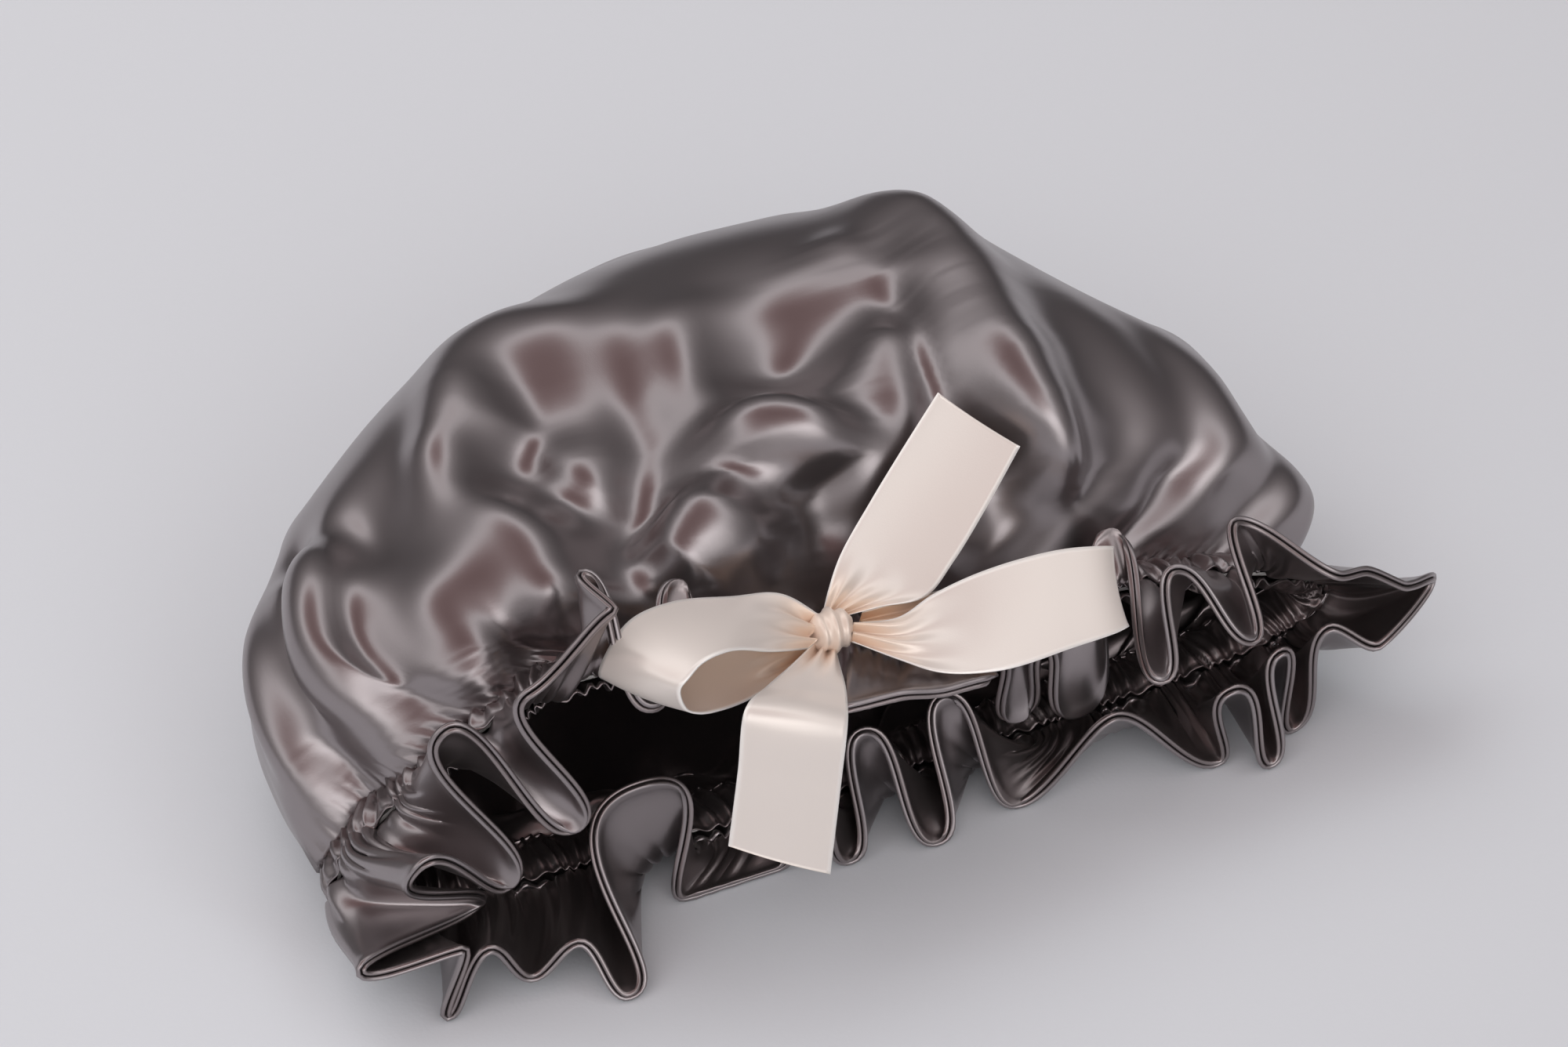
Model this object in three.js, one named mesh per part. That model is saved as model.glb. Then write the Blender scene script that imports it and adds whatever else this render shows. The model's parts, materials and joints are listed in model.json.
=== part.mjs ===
// Satin sleep cap with a ribbon bow, lying on its side with the opening towards the viewer.
// Millimetres, +Z up. The origin is on the table under the crown, and the opening faces -Y.
import * as THREE from 'three';

// Cloth and fits
const CLOTH = 0.8;
const PLY_GAP = 0.5;
const SEAM_GAP = 0.6;
const FIT = 0.3;

// Opening, measured along the sewn casing
const OPENING_WIDTH = 258;
const OPENING_GAPE = 57;
const LIP_HEIGHT = 7;
const OPENING_FRONT = -78;
const LIP_BULGE = 5;

// Casing and elastic
const ELASTIC_WIDTH = 8;
const ELASTIC_THICK = 1.0;
const CASING_MARGIN = 2;

// Crown
const CROWN_DEPTH = 150;
const CROWN_HEIGHT = 97;
const CROWN_WIDTH = 276;
const FOLD_HEIGHT = 9;

// Ruffle
const RUFFLE_DEPTH = 31;
const FLUTE_RISE = 16;
const LOWER_FLUTE_RISE = 20;
const LEFT_FLARE = 16;
const RIGHT_FLARE = 34;
const TOP_FLARE = 16;
const FLUTE_SWING = 0.85;
const LEFT_PRESS = 14;
const RIGHT_PRESS = 3;
const PRESSED_MARGIN = 4;
const FLUTE_OVERHANG = 0.1;
const FLUTE_OPENING = 0.8;

// Bow of satin ribbon
const RIBBON_WIDTH = 25;
const RIBBON_THICK = 0.6;
const RIBBON_PINCH = 0.4;
const RIBBON_CREASE = 1.3;
const LEFT_LOOP_LENGTH = 62;
const LEFT_LOOP_OPENING = 14;
const LEFT_LOOP_STAND = 12;
const LEFT_LOOP_ANGLE = 185;
const LEFT_LOOP_TWIST = 26;
const RIGHT_LOOP_LENGTH = 74;
const RIGHT_LOOP_OPENING = 7;
const RIGHT_LOOP_STAND = 8;
const RIGHT_LOOP_ANGLE = -8;
const RIGHT_LOOP_TWIST = 0;
const LOOP_PINCH = 0.3;
const UPPER_TAIL_SWEEP = 24;
const UPPER_TAIL_CLIMB = 47;
const UPPER_TAIL_CLEARANCE = 6;
const LOWER_TAIL_DROP = 38;
const LOWER_TAIL_SWEEP = -32;
const LOWER_TAIL_CLEARANCE = 5;
const TAIL_PINCH = 0.45;
const KNOT_RADIUS = 6;
const KNOT_LENGTH = 15;
const TACK_RADIUS = 1.6;
const TACK_LENGTH = 6;
const BOW_TILT = 50;
const BOW_PLACE = 0.262;

// How finely the cloth is faceted
const LIP_DIVISIONS = 600;
const CROWN_UPPER_COLUMNS = 34;
const CROWN_LOWER_COLUMNS = 22;
const CASING_COLUMNS = 96;
const STEPS_PER_FLUTE = 8;
const RUFFLE_ROWS = 2;
const RIBBON_STEPS = 16;
const TAIL_SAMPLES = 200;
const LOOP_POINTS = 12;
const KNOT_SIDES = 18;
const TACK_SIDES = 10;

// The lip line from the left corner over the upper lip and back along the lower one:
// share of the width, share of the bulge forward, share of the gape.
const LIP_LINE = [
  [-0.5, 0, 0.16],
  [-0.45, 0.4, 0.54],
  [-0.29, 0.8, 1.0],
  [-0.08, 1.0, 0.84],
  [0.15, 0.8, 0.72],
  [0.36, 0.4, 0.58],
  [0.5, 0, 0.3],
  [0.4, 0, 0.05],
  [0.12, 0.4, 0],
  [-0.19, 0.8, 0],
  [-0.41, 0.4, 0.02],
];
const RIGHT_CORNER = 6;

// Crown sections from the casing back to the closed end: share of the depth, left and right as shares
// of the width, top as a share of the height, where the top lies across, height of the widest line.
const CROWN_SECTIONS = [
  [0.11, -0.48, 0.505, 0.82, -0.04, 0.29],
  [0.31, -0.485, 0.5, 0.95, -0.02, 0.33],
  [0.53, -0.43, 0.405, 0.99, 0.02, 0.35],
  [0.75, -0.3, 0.31, 0.93, 0.065, 0.35],
  [0.91, -0.145, 0.225, 0.76, 0.087, 0.33],
  [1.0, -0.02, 0.152, 0.53, 0.087, 0.29],
];
const CROWN_END = [0.073, 1.02, 0.26];

// Roundness of a section, pull of its top towards the peak, and how the underside spreads on the table.
const SECTION_ROUNDNESS = 0.85;
const PEAK_PULL = 0.8;
const UNDERSIDE_DROP = 1.12;
const UNDERSIDE_SPREAD = 0.6;

// Rows of the crown's faces from the casing to the closed end, closest where the folds are.
const CROWN_RUNS = [0, 0.11, 0.19, 0.27, 0.36, 0.48, 0.62, 0.8, 1];

// Main folds of the crown: place round the lip, reach from and to as shares of the way to the closed
// end, width as a share of the way round, height as a share of FOLD_HEIGHT, lean.
const CROWN_FOLDS = [
  [0.338, 0.18, 0.74, 0.018, 0.95, -0.01],
  [0.27, 0.25, 0.52, 0.015, -1.0, 0.0],
  [0.198, 0.2, 0.5, 0.016, -0.8, 0.0],
  [0.172, 0.05, 0.27, 0.028, 0.7, 0.04],
  [0.162, 0.26, 0.56, 0.015, 0.45, 0.0],
  [0.077, 0.05, 0.36, 0.012, -0.6, 0.0],
  [0.046, 0.05, 0.28, 0.014, 0.5, 0.0],
  [0.398, 0.1, 0.32, 0.014, -0.5, 0.0],
  [0.43, 0.0, 0.3, 0.018, 0.35, 0.0],
];
const FOLD_FADE = 0.12;

// Flutes of the ruffle, from the left corner over the upper lip and back along the lower one:
// share of the way round, rise outwards and dip inwards as shares of the flutes' own rise.
const UPPER_FLUTES = [
  [14, -0.35, 0.9],
  [21, -0.35, 1.4],
  [32, 0.9, 1.6],
  [32, 1.5, 1.1],
  [22, 0.9, 1.1],
  [23, 0, 1.25],
  [45, 0, 0.3],
  [13, -0.5, 1.2],
  [16, -0.5, 1.3],
  [23, 0.95, 1.0],
  [18, 0.6, 0.6],
  [36, 0.95, -0.25],
];
const LOWER_FLUTES = [
  [22, -0.7, 1.2],
  [12, 0.25, 1.0],
  [24, 0.25, 0.95],
  [34, 0.25, 1.2],
  [24, 0.25, 0.7],
  [26, 0.25, 0.7],
  [40, 0.25, 1.3],
  [22, 0.25, 0.35],
  [22, 0, 0.5],
  [22, 0.3, 0.6],
  [9, -0.2, 0.2],
];

const satin = new THREE.MeshStandardMaterial({ color: 0x7b7374, roughness: 0.38, metalness: 0 });
const lining = new THREE.MeshStandardMaterial({ color: 0x6e6768, roughness: 0.42, metalness: 0 });
const ribbon = new THREE.MeshStandardMaterial({ color: 0xe8d5c4, roughness: 0.4, metalness: 0 });
const rubber = new THREE.MeshStandardMaterial({ color: 0xd9d6d0, roughness: 0.8, metalness: 0 });
const thread = new THREE.MeshStandardMaterial({ color: 0xd8c6b5, roughness: 0.7, metalness: 0 });

const FORWARD = new THREE.Vector3(0, -1, 0);
const radians = THREE.MathUtils.degToRad;
const power = (x, p) => Math.sign(x) * Math.abs(x) ** p;
const bell = (x) => Math.exp(-x * x);
const ramp = (x) => THREE.MathUtils.smoothstep(x, 0, 1);
const move = (point, direction, distance) => point.clone().addScaledVector(direction, distance);

const CASING_WIDTH = ELASTIC_WIDTH + 2 * CASING_MARGIN;
const FLOOR = CLOTH + PLY_GAP / 2;

const lipCurve = new THREE.CatmullRomCurve3(
  LIP_LINE.map(([across, bulge, rise]) => new THREE.Vector3(
    across * OPENING_WIDTH, OPENING_FRONT - bulge * LIP_BULGE, LIP_HEIGHT + rise * OPENING_GAPE)),
  true, 'catmullrom');
lipCurve.arcLengthDivisions = LIP_DIVISIONS;
const lipLength = lipCurve.getLength();

// Share of the way round at which the right corner lies.
const rightCorner = (() => {
  const lengths = lipCurve.getLengths();
  const index = Math.round(lengths.length * RIGHT_CORNER / LIP_LINE.length);
  return lengths[index] / lengths[lengths.length - 1];
})();

// Point on the lip line with its directions: along the lip, out of the cap, and forward past the ruffle.
function lipFrame(share) {
  const turn = THREE.MathUtils.euclideanModulo(share, 1);
  const point = lipCurve.getPointAt(turn);
  const along = lipCurve.getTangentAt(turn);
  const level = FORWARD.clone().cross(along).normalize();
  const cornerFlare = LEFT_FLARE * Math.max(0, -level.x) + RIGHT_FLARE * Math.max(0, level.x);
  const flare = radians(cornerFlare + TOP_FLARE * Math.max(0, level.z));
  const forward = FORWARD.clone().multiplyScalar(Math.cos(flare)).addScaledVector(level, Math.sin(flare));
  forward.addScaledVector(along, -forward.dot(along)).normalize();
  const out = forward.clone().cross(along).normalize();
  return { point, along, out, forward };
}

// Angle round a crown section that belongs to a share of the way round the lip.
function sectionAngle(share) {
  if (share <= rightCorner) return Math.PI * (1 - share / rightCorner);
  return -Math.PI * (share - rightCorner) / (1 - rightCorner);
}

function sectionPoint([depth, left, right, top, peak, widest], angle) {
  const c = Math.cos(angle);
  const s = Math.sin(angle);
  const middle = (left + right) / 2;
  let across = middle + (right - left) / 2 * power(c, SECTION_ROUNDNESS);
  if (s > 0) across += (peak - middle) * PEAK_PULL * s * s;
  const rise = s > 0
    ? widest + (top - widest) * s ** SECTION_ROUNDNESS
    : widest * (1 - UNDERSIDE_DROP * Math.abs(s) ** UNDERSIDE_SPREAD);
  return new THREE.Vector3(
    across * CROWN_WIDTH, OPENING_FRONT + depth * CROWN_DEPTH, rise * CROWN_HEIGHT);
}

// How far the folds lift or sink the crown at a place round the lip and a share of the way back.
function foldLift(share, run) {
  let lift = 0;
  for (const [place, from, to, width, height, lean] of CROWN_FOLDS) {
    const offset = share - place - lean * run;
    const reach = ramp((run - from) / FOLD_FADE) * ramp((to - run) / FOLD_FADE);
    lift += height * FOLD_HEIGHT * reach * bell(offset / width);
  }
  return lift;
}

const evenSteps = (from, to, count) => Array.from({ length: count }, (_, k) => from + (to - from) * k / count);

// The crown's own columns, closer together over the upper lip, where the folds are.
const crownShares = [
  ...evenSteps(0, rightCorner, CROWN_UPPER_COLUMNS),
  ...evenSteps(rightCorner, 1, CROWN_LOWER_COLUMNS),
];

// Middle surface of the crown's two plies, as rows of points from the casing to the closed end, at given
// shares of the way round the lip and of the way back.
function crownRows(shares, runs) {
  const end = new THREE.Vector3(
    CROWN_END[0] * CROWN_WIDTH, OPENING_FRONT + CROWN_END[1] * CROWN_DEPTH, CROWN_END[2] * CROWN_HEIGHT);
  const spines = shares.map((share) => {
    const { point, forward } = lipFrame(share);
    return new THREE.CatmullRomCurve3([
      move(point, forward, -CASING_WIDTH / 2 - SEAM_GAP),
      ...CROWN_SECTIONS.map((section) => sectionPoint(section, sectionAngle(share))),
      end,
    ]);
  });
  const grid = runs.map((run) => spines.map((spine) => spine.getPointAt(run)));
  const normals = gridNormals(grid, true);
  grid.forEach((row, i) => row.forEach((point, j) => {
    point.addScaledVector(normals[i][j], foldLift(shares[j], runs[i]));
    point.z = Math.max(point.z, FLOOR);
  }));
  return grid;
}

// Outward normals of a closed-round grid of points, from its neighbours.
function gridNormals(grid, closedEnd) {
  const last = grid.length - 1;
  const normals = grid.map((row, i) => row.map((point, j) => {
    const left = row[(j + row.length - 1) % row.length];
    const right = row[(j + 1) % row.length];
    const before = grid[Math.max(i - 1, 0)][j];
    const after = grid[Math.min(i + 1, last)][j];
    return right.clone().sub(left).cross(after.clone().sub(before)).normalize();
  }));
  if (closedEnd) {
    const mean = new THREE.Vector3();
    normals[last - 1].forEach((normal) => mean.add(normal));
    normals[last] = grid[last].map(() => mean.clone().normalize());
  }
  return normals;
}

// Closed solid between two faces, each a closed-round grid of points, the first facing out.
// A grid whose last row is one point closes there; otherwise both ends get a rim.
function shellSolid(outside, inside, closedEnd) {
  const positions = [];
  const index = [];
  const columns = outside[0].length;
  const addFace = (grid) => grid.map((row, i) => {
    const single = closedEnd && i === grid.length - 1;
    const points = single ? [row[0]] : row;
    const ids = points.map((point) => positions.push(point.x, point.y, point.z) / 3 - 1);
    return single ? row.map(() => ids[0]) : ids;
  });
  const quad = (a, b, c, d) => {
    index.push(a, b, c);
    if (c !== d) index.push(a, c, d);
  };
  const quadBehind = (a, b, c, d) => {
    index.push(a, c, b);
    if (c !== d) index.push(a, d, c);
  };
  const outer = addFace(outside);
  const inner = addFace(inside);
  const last = outer.length - 1;
  for (let j = 0; j < columns; j += 1) {
    const k = (j + 1) % columns;
    for (let i = 0; i < last; i += 1) {
      quad(outer[i][j], outer[i][k], outer[i + 1][k], outer[i + 1][j]);
      quadBehind(inner[i][j], inner[i][k], inner[i + 1][k], inner[i + 1][j]);
    }
    quad(inner[0][j], inner[0][k], outer[0][k], outer[0][j]);
    if (!closedEnd) quad(outer[last][j], outer[last][k], inner[last][k], inner[last][j]);
  }
  const geometry = new THREE.BufferGeometry();
  geometry.setAttribute('position', new THREE.Float32BufferAttribute(positions, 3));
  geometry.setIndex(index);
  geometry.computeVertexNormals();
  return geometry;
}

const offsetGrid = (grid, normals, distance) => grid.map(
  (row, i) => row.map((point, j) => move(point, normals[i][j], distance)));

// One ply of a doubled cloth whose middle surface is the grid: side 1 is the outside, -1 the lining.
function plySolid(grid, normals, side, closedEnd) {
  const near = PLY_GAP / 2;
  const far = near + CLOTH;
  const outside = offsetGrid(grid, normals, side > 0 ? far : -near);
  const inside = offsetGrid(grid, normals, side > 0 ? near : -far);
  return shellSolid(outside, inside, closedEnd);
}

function crownPly(side) {
  const grid = crownRows(crownShares, CROWN_RUNS);
  const normals = gridNormals(grid, true);
  normals[0] = crownShares.map((share) => lipFrame(share).out);
  return plySolid(grid, normals, side, true);
}

// The casing is flat at both stitch rows and arches between them to make room for the elastic.
function casingPly(side) {
  const sewn = CASING_WIDTH / 2;
  const channel = ELASTIC_WIDTH / 2 + FIT;
  const room = ELASTIC_THICK / 2 + FIT;
  const arch = [[sewn, PLY_GAP / 2], [channel, room], [-channel, room], [-sewn, PLY_GAP / 2]];
  const face = (extra) => arch.map(([ahead, height]) => {
    const row = [];
    for (let j = 0; j < CASING_COLUMNS; j += 1) {
      const { point, forward, out } = lipFrame(j / CASING_COLUMNS);
      row.push(move(move(point, forward, ahead), out, side * (height + extra)));
    }
    return row;
  });
  return side > 0 ? shellSolid(face(CLOTH), face(0), false) : shellSolid(face(0), face(CLOTH), false);
}

function elasticBand() {
  const edges = [ELASTIC_WIDTH / 2, -ELASTIC_WIDTH / 2];
  const face = (height) => edges.map((ahead) => {
    const row = [];
    for (let j = 0; j < CASING_COLUMNS; j += 1) {
      const { point, forward, out } = lipFrame(j / CASING_COLUMNS);
      row.push(move(move(point, forward, ahead), out, height));
    }
    return row;
  });
  return shellSolid(face(ELASTIC_THICK / 2), face(-ELASTIC_THICK / 2), false);
}

// How far out the ruffle may reach at a place round the lip: the bow's loops press in what they lie on,
// the left one and the lower tail further than the right one.
function roomUnderBow(place) {
  const distance = (place - BOW_PLACE) * lipLength;
  if (distance < -LEFT_LOOP_LENGTH - PRESSED_MARGIN) return Infinity;
  if (distance > RIGHT_LOOP_LENGTH + PRESSED_MARGIN) return Infinity;
  return distance < RIBBON_WIDTH / 2 ? -LEFT_PRESS : -RIGHT_PRESS;
}

// The ruffle's flutes as turning points round the lip: place, reach outwards or inwards, width.
function fluteTurns() {
  const turns = [];
  const most = FLUTE_SWING * RUFFLE_DEPTH;
  const turnAt = (place, reach, width) => {
    const swing = THREE.MathUtils.clamp(reach, -most, most);
    return { place, reach: Math.min(swing, roomUnderBow(place)), width };
  };
  const add = (flutes, from, to, rise) => {
    const total = flutes.reduce((sum, [share]) => sum + share, 0);
    let start = from;
    for (const [share, out, dip] of flutes) {
      const width = share / total * (to - from);
      turns.push(turnAt(start + width / 4, out * rise, width));
      turns.push(turnAt(start + width * 3 / 4, -dip * rise, width));
      start += width;
    }
  };
  add(UPPER_FLUTES, 0, rightCorner, FLUTE_RISE);
  add(LOWER_FLUTES, rightCorner, 1, LOWER_FLUTE_RISE);
  return turns;
}

// Middle surface of the ruffle: each flute swings out and in, and overhangs its own neck. Its cloth is as
// long where it swings as where it lies straight ahead.
function ruffleRows() {
  const turns = fluteTurns();
  const half = STEPS_PER_FLUTE / 2;
  const grid = [];
  for (let i = RUFFLE_ROWS; i >= 0; i -= 1) grid.push([]);
  const base = [];
  turns.forEach((turn, index) => {
    const next = turns[(index + 1) % turns.length];
    const gap = THREE.MathUtils.euclideanModulo(next.place - turn.place, 1);
    for (let step = 0; step < half; step += 1) {
      const phase = Math.PI * step / half;
      const reach = (turn.reach + next.reach) / 2 + (turn.reach - next.reach) / 2 * Math.cos(phase);
      const ahead = Math.sqrt(RUFFLE_DEPTH ** 2 - reach ** 2);
      const lean = FLUTE_OVERHANG * (turn.width + next.width) / 2 * lipLength * Math.sin(2 * phase);
      const { point, along, out, forward } = lipFrame(turn.place + gap * step / half);
      grid.forEach((row, i) => {
        const run = 1 - i / RUFFLE_ROWS;
        const opened = run ** FLUTE_OPENING;
        const spot = move(point, forward, CASING_WIDTH / 2 + SEAM_GAP + run * ahead);
        spot.addScaledVector(along, opened * lean).addScaledVector(out, opened * reach);
        spot.z = Math.max(spot.z, FLOOR);
        row.push(spot);
      });
      base.push(out);
    }
  });
  return { grid, base };
}

function rufflePly(side) {
  const { grid, base } = ruffleRows();
  const normals = gridNormals(grid, false);
  normals[RUFFLE_ROWS] = base;
  return plySolid(grid, normals, side, false);
}

// Ribbon along a path: strip with a crease down its middle, drawn in at the knot.
function ribbonSolid(path, across, widthAt, creaseAt) {
  const top = [];
  const under = [];
  for (let i = 0; i <= RIBBON_STEPS; i += 1) {
    const t = i / RIBBON_STEPS;
    const point = path.getPointAt(t);
    const ahead = path.getTangentAt(t);
    const side = across.clone().addScaledVector(ahead, -across.dot(ahead)).normalize();
    const face = ahead.clone().cross(side).normalize();
    const half = widthAt(t) / 2;
    const strip = [-1, 0, 1].map((k) => {
      const spot = move(point, side, k * half);
      return spot.addScaledVector(face, k === 0 ? creaseAt(t) : 0);
    });
    top.push(strip.map((spot) => move(spot, face, RIBBON_THICK / 2)));
    under.push(strip.map((spot) => move(spot, face, -RIBBON_THICK / 2)));
  }
  const positions = [];
  const index = [];
  const ring = (i) => [...top[i], ...under[i].slice().reverse()];
  const rings = top.map((row, i) => ring(i).map((p) => positions.push(p.x, p.y, p.z) / 3 - 1));
  const count = rings[0].length;
  for (let i = 0; i < RIBBON_STEPS; i += 1) {
    for (let j = 0; j < count; j += 1) {
      const k = (j + 1) % count;
      index.push(rings[i][j], rings[i + 1][k], rings[i][k]);
      index.push(rings[i][j], rings[i + 1][j], rings[i + 1][k]);
    }
  }
  const closeEnd = ([a, b, c, d, e, f]) => index.push(a, b, e, a, e, f, b, c, d, b, d, e);
  closeEnd(rings[0]);
  closeEnd([...rings[RIBBON_STEPS]].reverse());
  const geometry = new THREE.BufferGeometry();
  geometry.setAttribute('position', new THREE.Float32BufferAttribute(positions, 3));
  geometry.setIndex(index);
  geometry.computeVertexNormals();
  return geometry;
}

// The bow stands on its tack over the casing, leaning forward. Its directions: right along the lip, up
// towards the crown, and front away from the cap.
const bow = (() => {
  const { point, along, out, forward } = lipFrame(BOW_PLACE);
  const tilt = radians(BOW_TILT);
  const front = out.clone().multiplyScalar(Math.cos(tilt)).addScaledVector(forward, Math.sin(tilt));
  const up = front.clone().cross(along);
  const seat = move(point, out, ELASTIC_THICK / 2 + FIT + CLOTH);
  const tackFoot = FIT + TACK_RADIUS * Math.tan(tilt);
  const knot = move(seat, front, tackFoot + TACK_LENGTH + FIT + KNOT_RADIUS);
  return { point, out, forward, right: along, up, front, seat, tackFoot, knot };
})();

// A spot given in the bow's own directions.
const bowSpot = (right, up, front) => bow.knot.clone()
  .addScaledVector(bow.right, right).addScaledVector(bow.up, up).addScaledVector(bow.front, front);

const bowTurn = (right, up, front) => bowSpot(right, up, front).sub(bow.knot).normalize();

// Group whose own +Y runs along the given direction.
function standing(geometry, base, direction) {
  const upright = new THREE.Vector3(0, 1, 0);
  geometry.applyQuaternion(new THREE.Quaternion().setFromUnitVectors(upright, direction));
  return geometry.translate(base.x, base.y, base.z);
}

// The knot is a wrap of ribbon, fullest at its middle and drawn in at both ends.
function bowKnot() {
  const half = KNOT_LENGTH / 2;
  const profile = [[0, -1], [0.72, -1], [0.93, -0.6], [1, 0], [0.93, 0.6], [0.72, 1], [0, 1]];
  const points = profile.map(([radius, height]) => new THREE.Vector2(radius * KNOT_RADIUS, height * half));
  return standing(new THREE.LatheGeometry(points, KNOT_SIDES), bow.knot, bow.up);
}

function bowTack() {
  const middle = move(bow.seat, bow.front, bow.tackFoot + TACK_LENGTH / 2);
  const stem = new THREE.CylinderGeometry(TACK_RADIUS, TACK_RADIUS, TACK_LENGTH, TACK_SIDES);
  return standing(stem, middle, bow.front);
}

// Width and crease of the ribbon at a share of the way from the knot to where it lies flat.
const pinchedWidth = (share) => RIBBON_WIDTH * THREE.MathUtils.lerp(RIBBON_PINCH, 1, ramp(share));
const pinchedCrease = (share) => RIBBON_CREASE * (1 - ramp(share));

// One loop: out from the knot, round its fold and back, with its two plies apart at the knot.
function bowLoop({ length, opening, stand, angle, twist }) {
  const heading = new THREE.Vector2(Math.cos(radians(angle)), Math.sin(radians(angle)));
  const start = KNOT_RADIUS + 2 * FIT;
  const lean = radians(twist);
  const points = [];
  for (let i = 0; i <= LOOP_POINTS; i += 1) {
    const t = i / LOOP_POINTS;
    const reach = Math.sin(Math.PI * t);
    const out = start + (length - start) * reach;
    const spread = opening / 2 * (Math.sin(2 * Math.PI * t) + reach * reach);
    const apart = (RIBBON_THICK + FIT) * Math.cos(Math.PI * t);
    const clear = (stand + RIBBON_WIDTH / 2 * Math.sin(lean)) * reach;
    points.push(bowSpot(heading.x * out, heading.y * out, spread + apart + clear));
  }
  const across = bowTurn(-heading.y * Math.cos(lean), heading.x * Math.cos(lean), -Math.sin(lean));
  const fromKnot = (t) => Math.min(t, 1 - t) / LOOP_PINCH;
  return ribbonSolid(
    new THREE.CatmullRomCurve3(points), across,
    (t) => pinchedWidth(fromKnot(t)), (t) => pinchedCrease(fromKnot(t)));
}

const tailWidth = (t) => pinchedWidth(t / TAIL_PINCH);
const tailCrease = (t) => pinchedCrease(t / TAIL_PINCH);

// Where the tails leave the knot: past its ends, and for the upper one to the right of its middle.
const upperTailRoot = bowSpot(KNOT_RADIUS / 2, KNOT_LENGTH / 2 + 3 * FIT, 0);
const lowerTailRoot = bowSpot(0, -KNOT_LENGTH / 2 - 2 * FIT, 0);

// The upper tail leaves the knot's top and lies back over the crown.
function upperTail() {
  const lift = FLOOR + UPPER_TAIL_CLEARANCE;
  const over = (along) => {
    const runs = evenSteps(0, 1, TAIL_SAMPLES);
    const from = BOW_PLACE + along * UPPER_TAIL_SWEEP / lipLength;
    const shares = evenSteps(from, from + 1, TAIL_SAMPLES).map((share) => share % 1);
    const grid = crownRows(shares, runs);
    const climb = grid[0][0].distanceTo(grid[1][0]);
    const row = Math.round(along * UPPER_TAIL_CLIMB / climb);
    return move(grid[row][0], gridNormals(grid, false)[row][0], lift);
  };
  const shoulder = bowSpot(KNOT_RADIUS, KNOT_LENGTH, 0);
  const path = new THREE.CatmullRomCurve3([upperTailRoot, shoulder, over(0.7), over(1)]);
  const across = path.getTangentAt(0.6).cross(bow.front).normalize();
  return ribbonSolid(path, across, tailWidth, tailCrease);
}

// The lower tail leaves the knot's foot, passes over the ruffle's edge and hangs in front of the opening.
function lowerTail() {
  const droop = FLUTE_SWING * RUFFLE_DEPTH * Math.sin(radians(TOP_FLARE));
  const reach = CASING_WIDTH / 2 + SEAM_GAP + RUFFLE_DEPTH + droop + LOWER_TAIL_CLEARANCE;
  const edge = move(move(bow.point, bow.forward, reach), bow.right, LOWER_TAIL_SWEEP / 2);
  const end = move(edge, bow.right, LOWER_TAIL_SWEEP / 2);
  end.z -= LOWER_TAIL_DROP;
  const shoulder = bowSpot(0, -KNOT_LENGTH, 0);
  const path = new THREE.CatmullRomCurve3([lowerTailRoot, shoulder, edge, end]);
  return ribbonSolid(path, bow.right.clone().negate(), tailWidth, tailCrease);
}

const cap = new THREE.Group();
const place = (name, geometry, material) => {
  const mesh = new THREE.Mesh(geometry, material);
  mesh.name = name;
  cap.add(mesh);
};

place('outer_crown', crownPly(1), satin);
place('lining_crown', crownPly(-1), lining);
place('casing_outer', casingPly(1), satin);
place('casing_lining', casingPly(-1), lining);
place('elastic_band', elasticBand(), rubber);
place('outer_ruffle', rufflePly(1), satin);
place('lining_ruffle', rufflePly(-1), lining);
place('bow_knot', bowKnot(), ribbon);
place('bow_tack', bowTack(), thread);
place('bow_left_loop', bowLoop({
  length: LEFT_LOOP_LENGTH,
  opening: LEFT_LOOP_OPENING,
  stand: LEFT_LOOP_STAND,
  angle: LEFT_LOOP_ANGLE,
  twist: LEFT_LOOP_TWIST,
}), ribbon);
place('bow_right_loop', bowLoop({
  length: RIGHT_LOOP_LENGTH,
  opening: RIGHT_LOOP_OPENING,
  stand: RIGHT_LOOP_STAND,
  angle: RIGHT_LOOP_ANGLE,
  twist: RIGHT_LOOP_TWIST,
}), ribbon);
place('bow_upper_tail', upperTail(), ribbon);
place('bow_lower_tail', lowerTail(), ribbon);

export default cap;
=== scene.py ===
import json
import math

import bpy
import numpy as np
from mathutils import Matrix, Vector, noise
from mathutils.bvhtree import BVHTree


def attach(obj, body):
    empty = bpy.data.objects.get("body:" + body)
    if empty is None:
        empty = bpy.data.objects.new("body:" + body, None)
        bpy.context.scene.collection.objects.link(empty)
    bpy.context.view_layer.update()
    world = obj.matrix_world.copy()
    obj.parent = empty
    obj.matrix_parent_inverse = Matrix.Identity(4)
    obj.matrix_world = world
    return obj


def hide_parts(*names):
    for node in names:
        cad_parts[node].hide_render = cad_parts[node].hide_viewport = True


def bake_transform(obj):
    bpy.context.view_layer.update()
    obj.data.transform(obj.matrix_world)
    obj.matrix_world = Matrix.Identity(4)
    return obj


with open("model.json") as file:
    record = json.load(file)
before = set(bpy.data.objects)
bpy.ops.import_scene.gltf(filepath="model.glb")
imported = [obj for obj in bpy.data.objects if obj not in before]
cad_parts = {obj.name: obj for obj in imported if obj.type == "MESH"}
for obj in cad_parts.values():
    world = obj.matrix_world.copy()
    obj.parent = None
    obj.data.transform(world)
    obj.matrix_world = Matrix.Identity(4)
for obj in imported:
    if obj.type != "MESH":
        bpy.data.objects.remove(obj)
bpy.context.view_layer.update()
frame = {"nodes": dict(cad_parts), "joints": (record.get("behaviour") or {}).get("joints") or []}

# The satin sleep cap as it looks. Sizes and places are in millimetres until a mesh is made.
MM = 0.001

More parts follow.
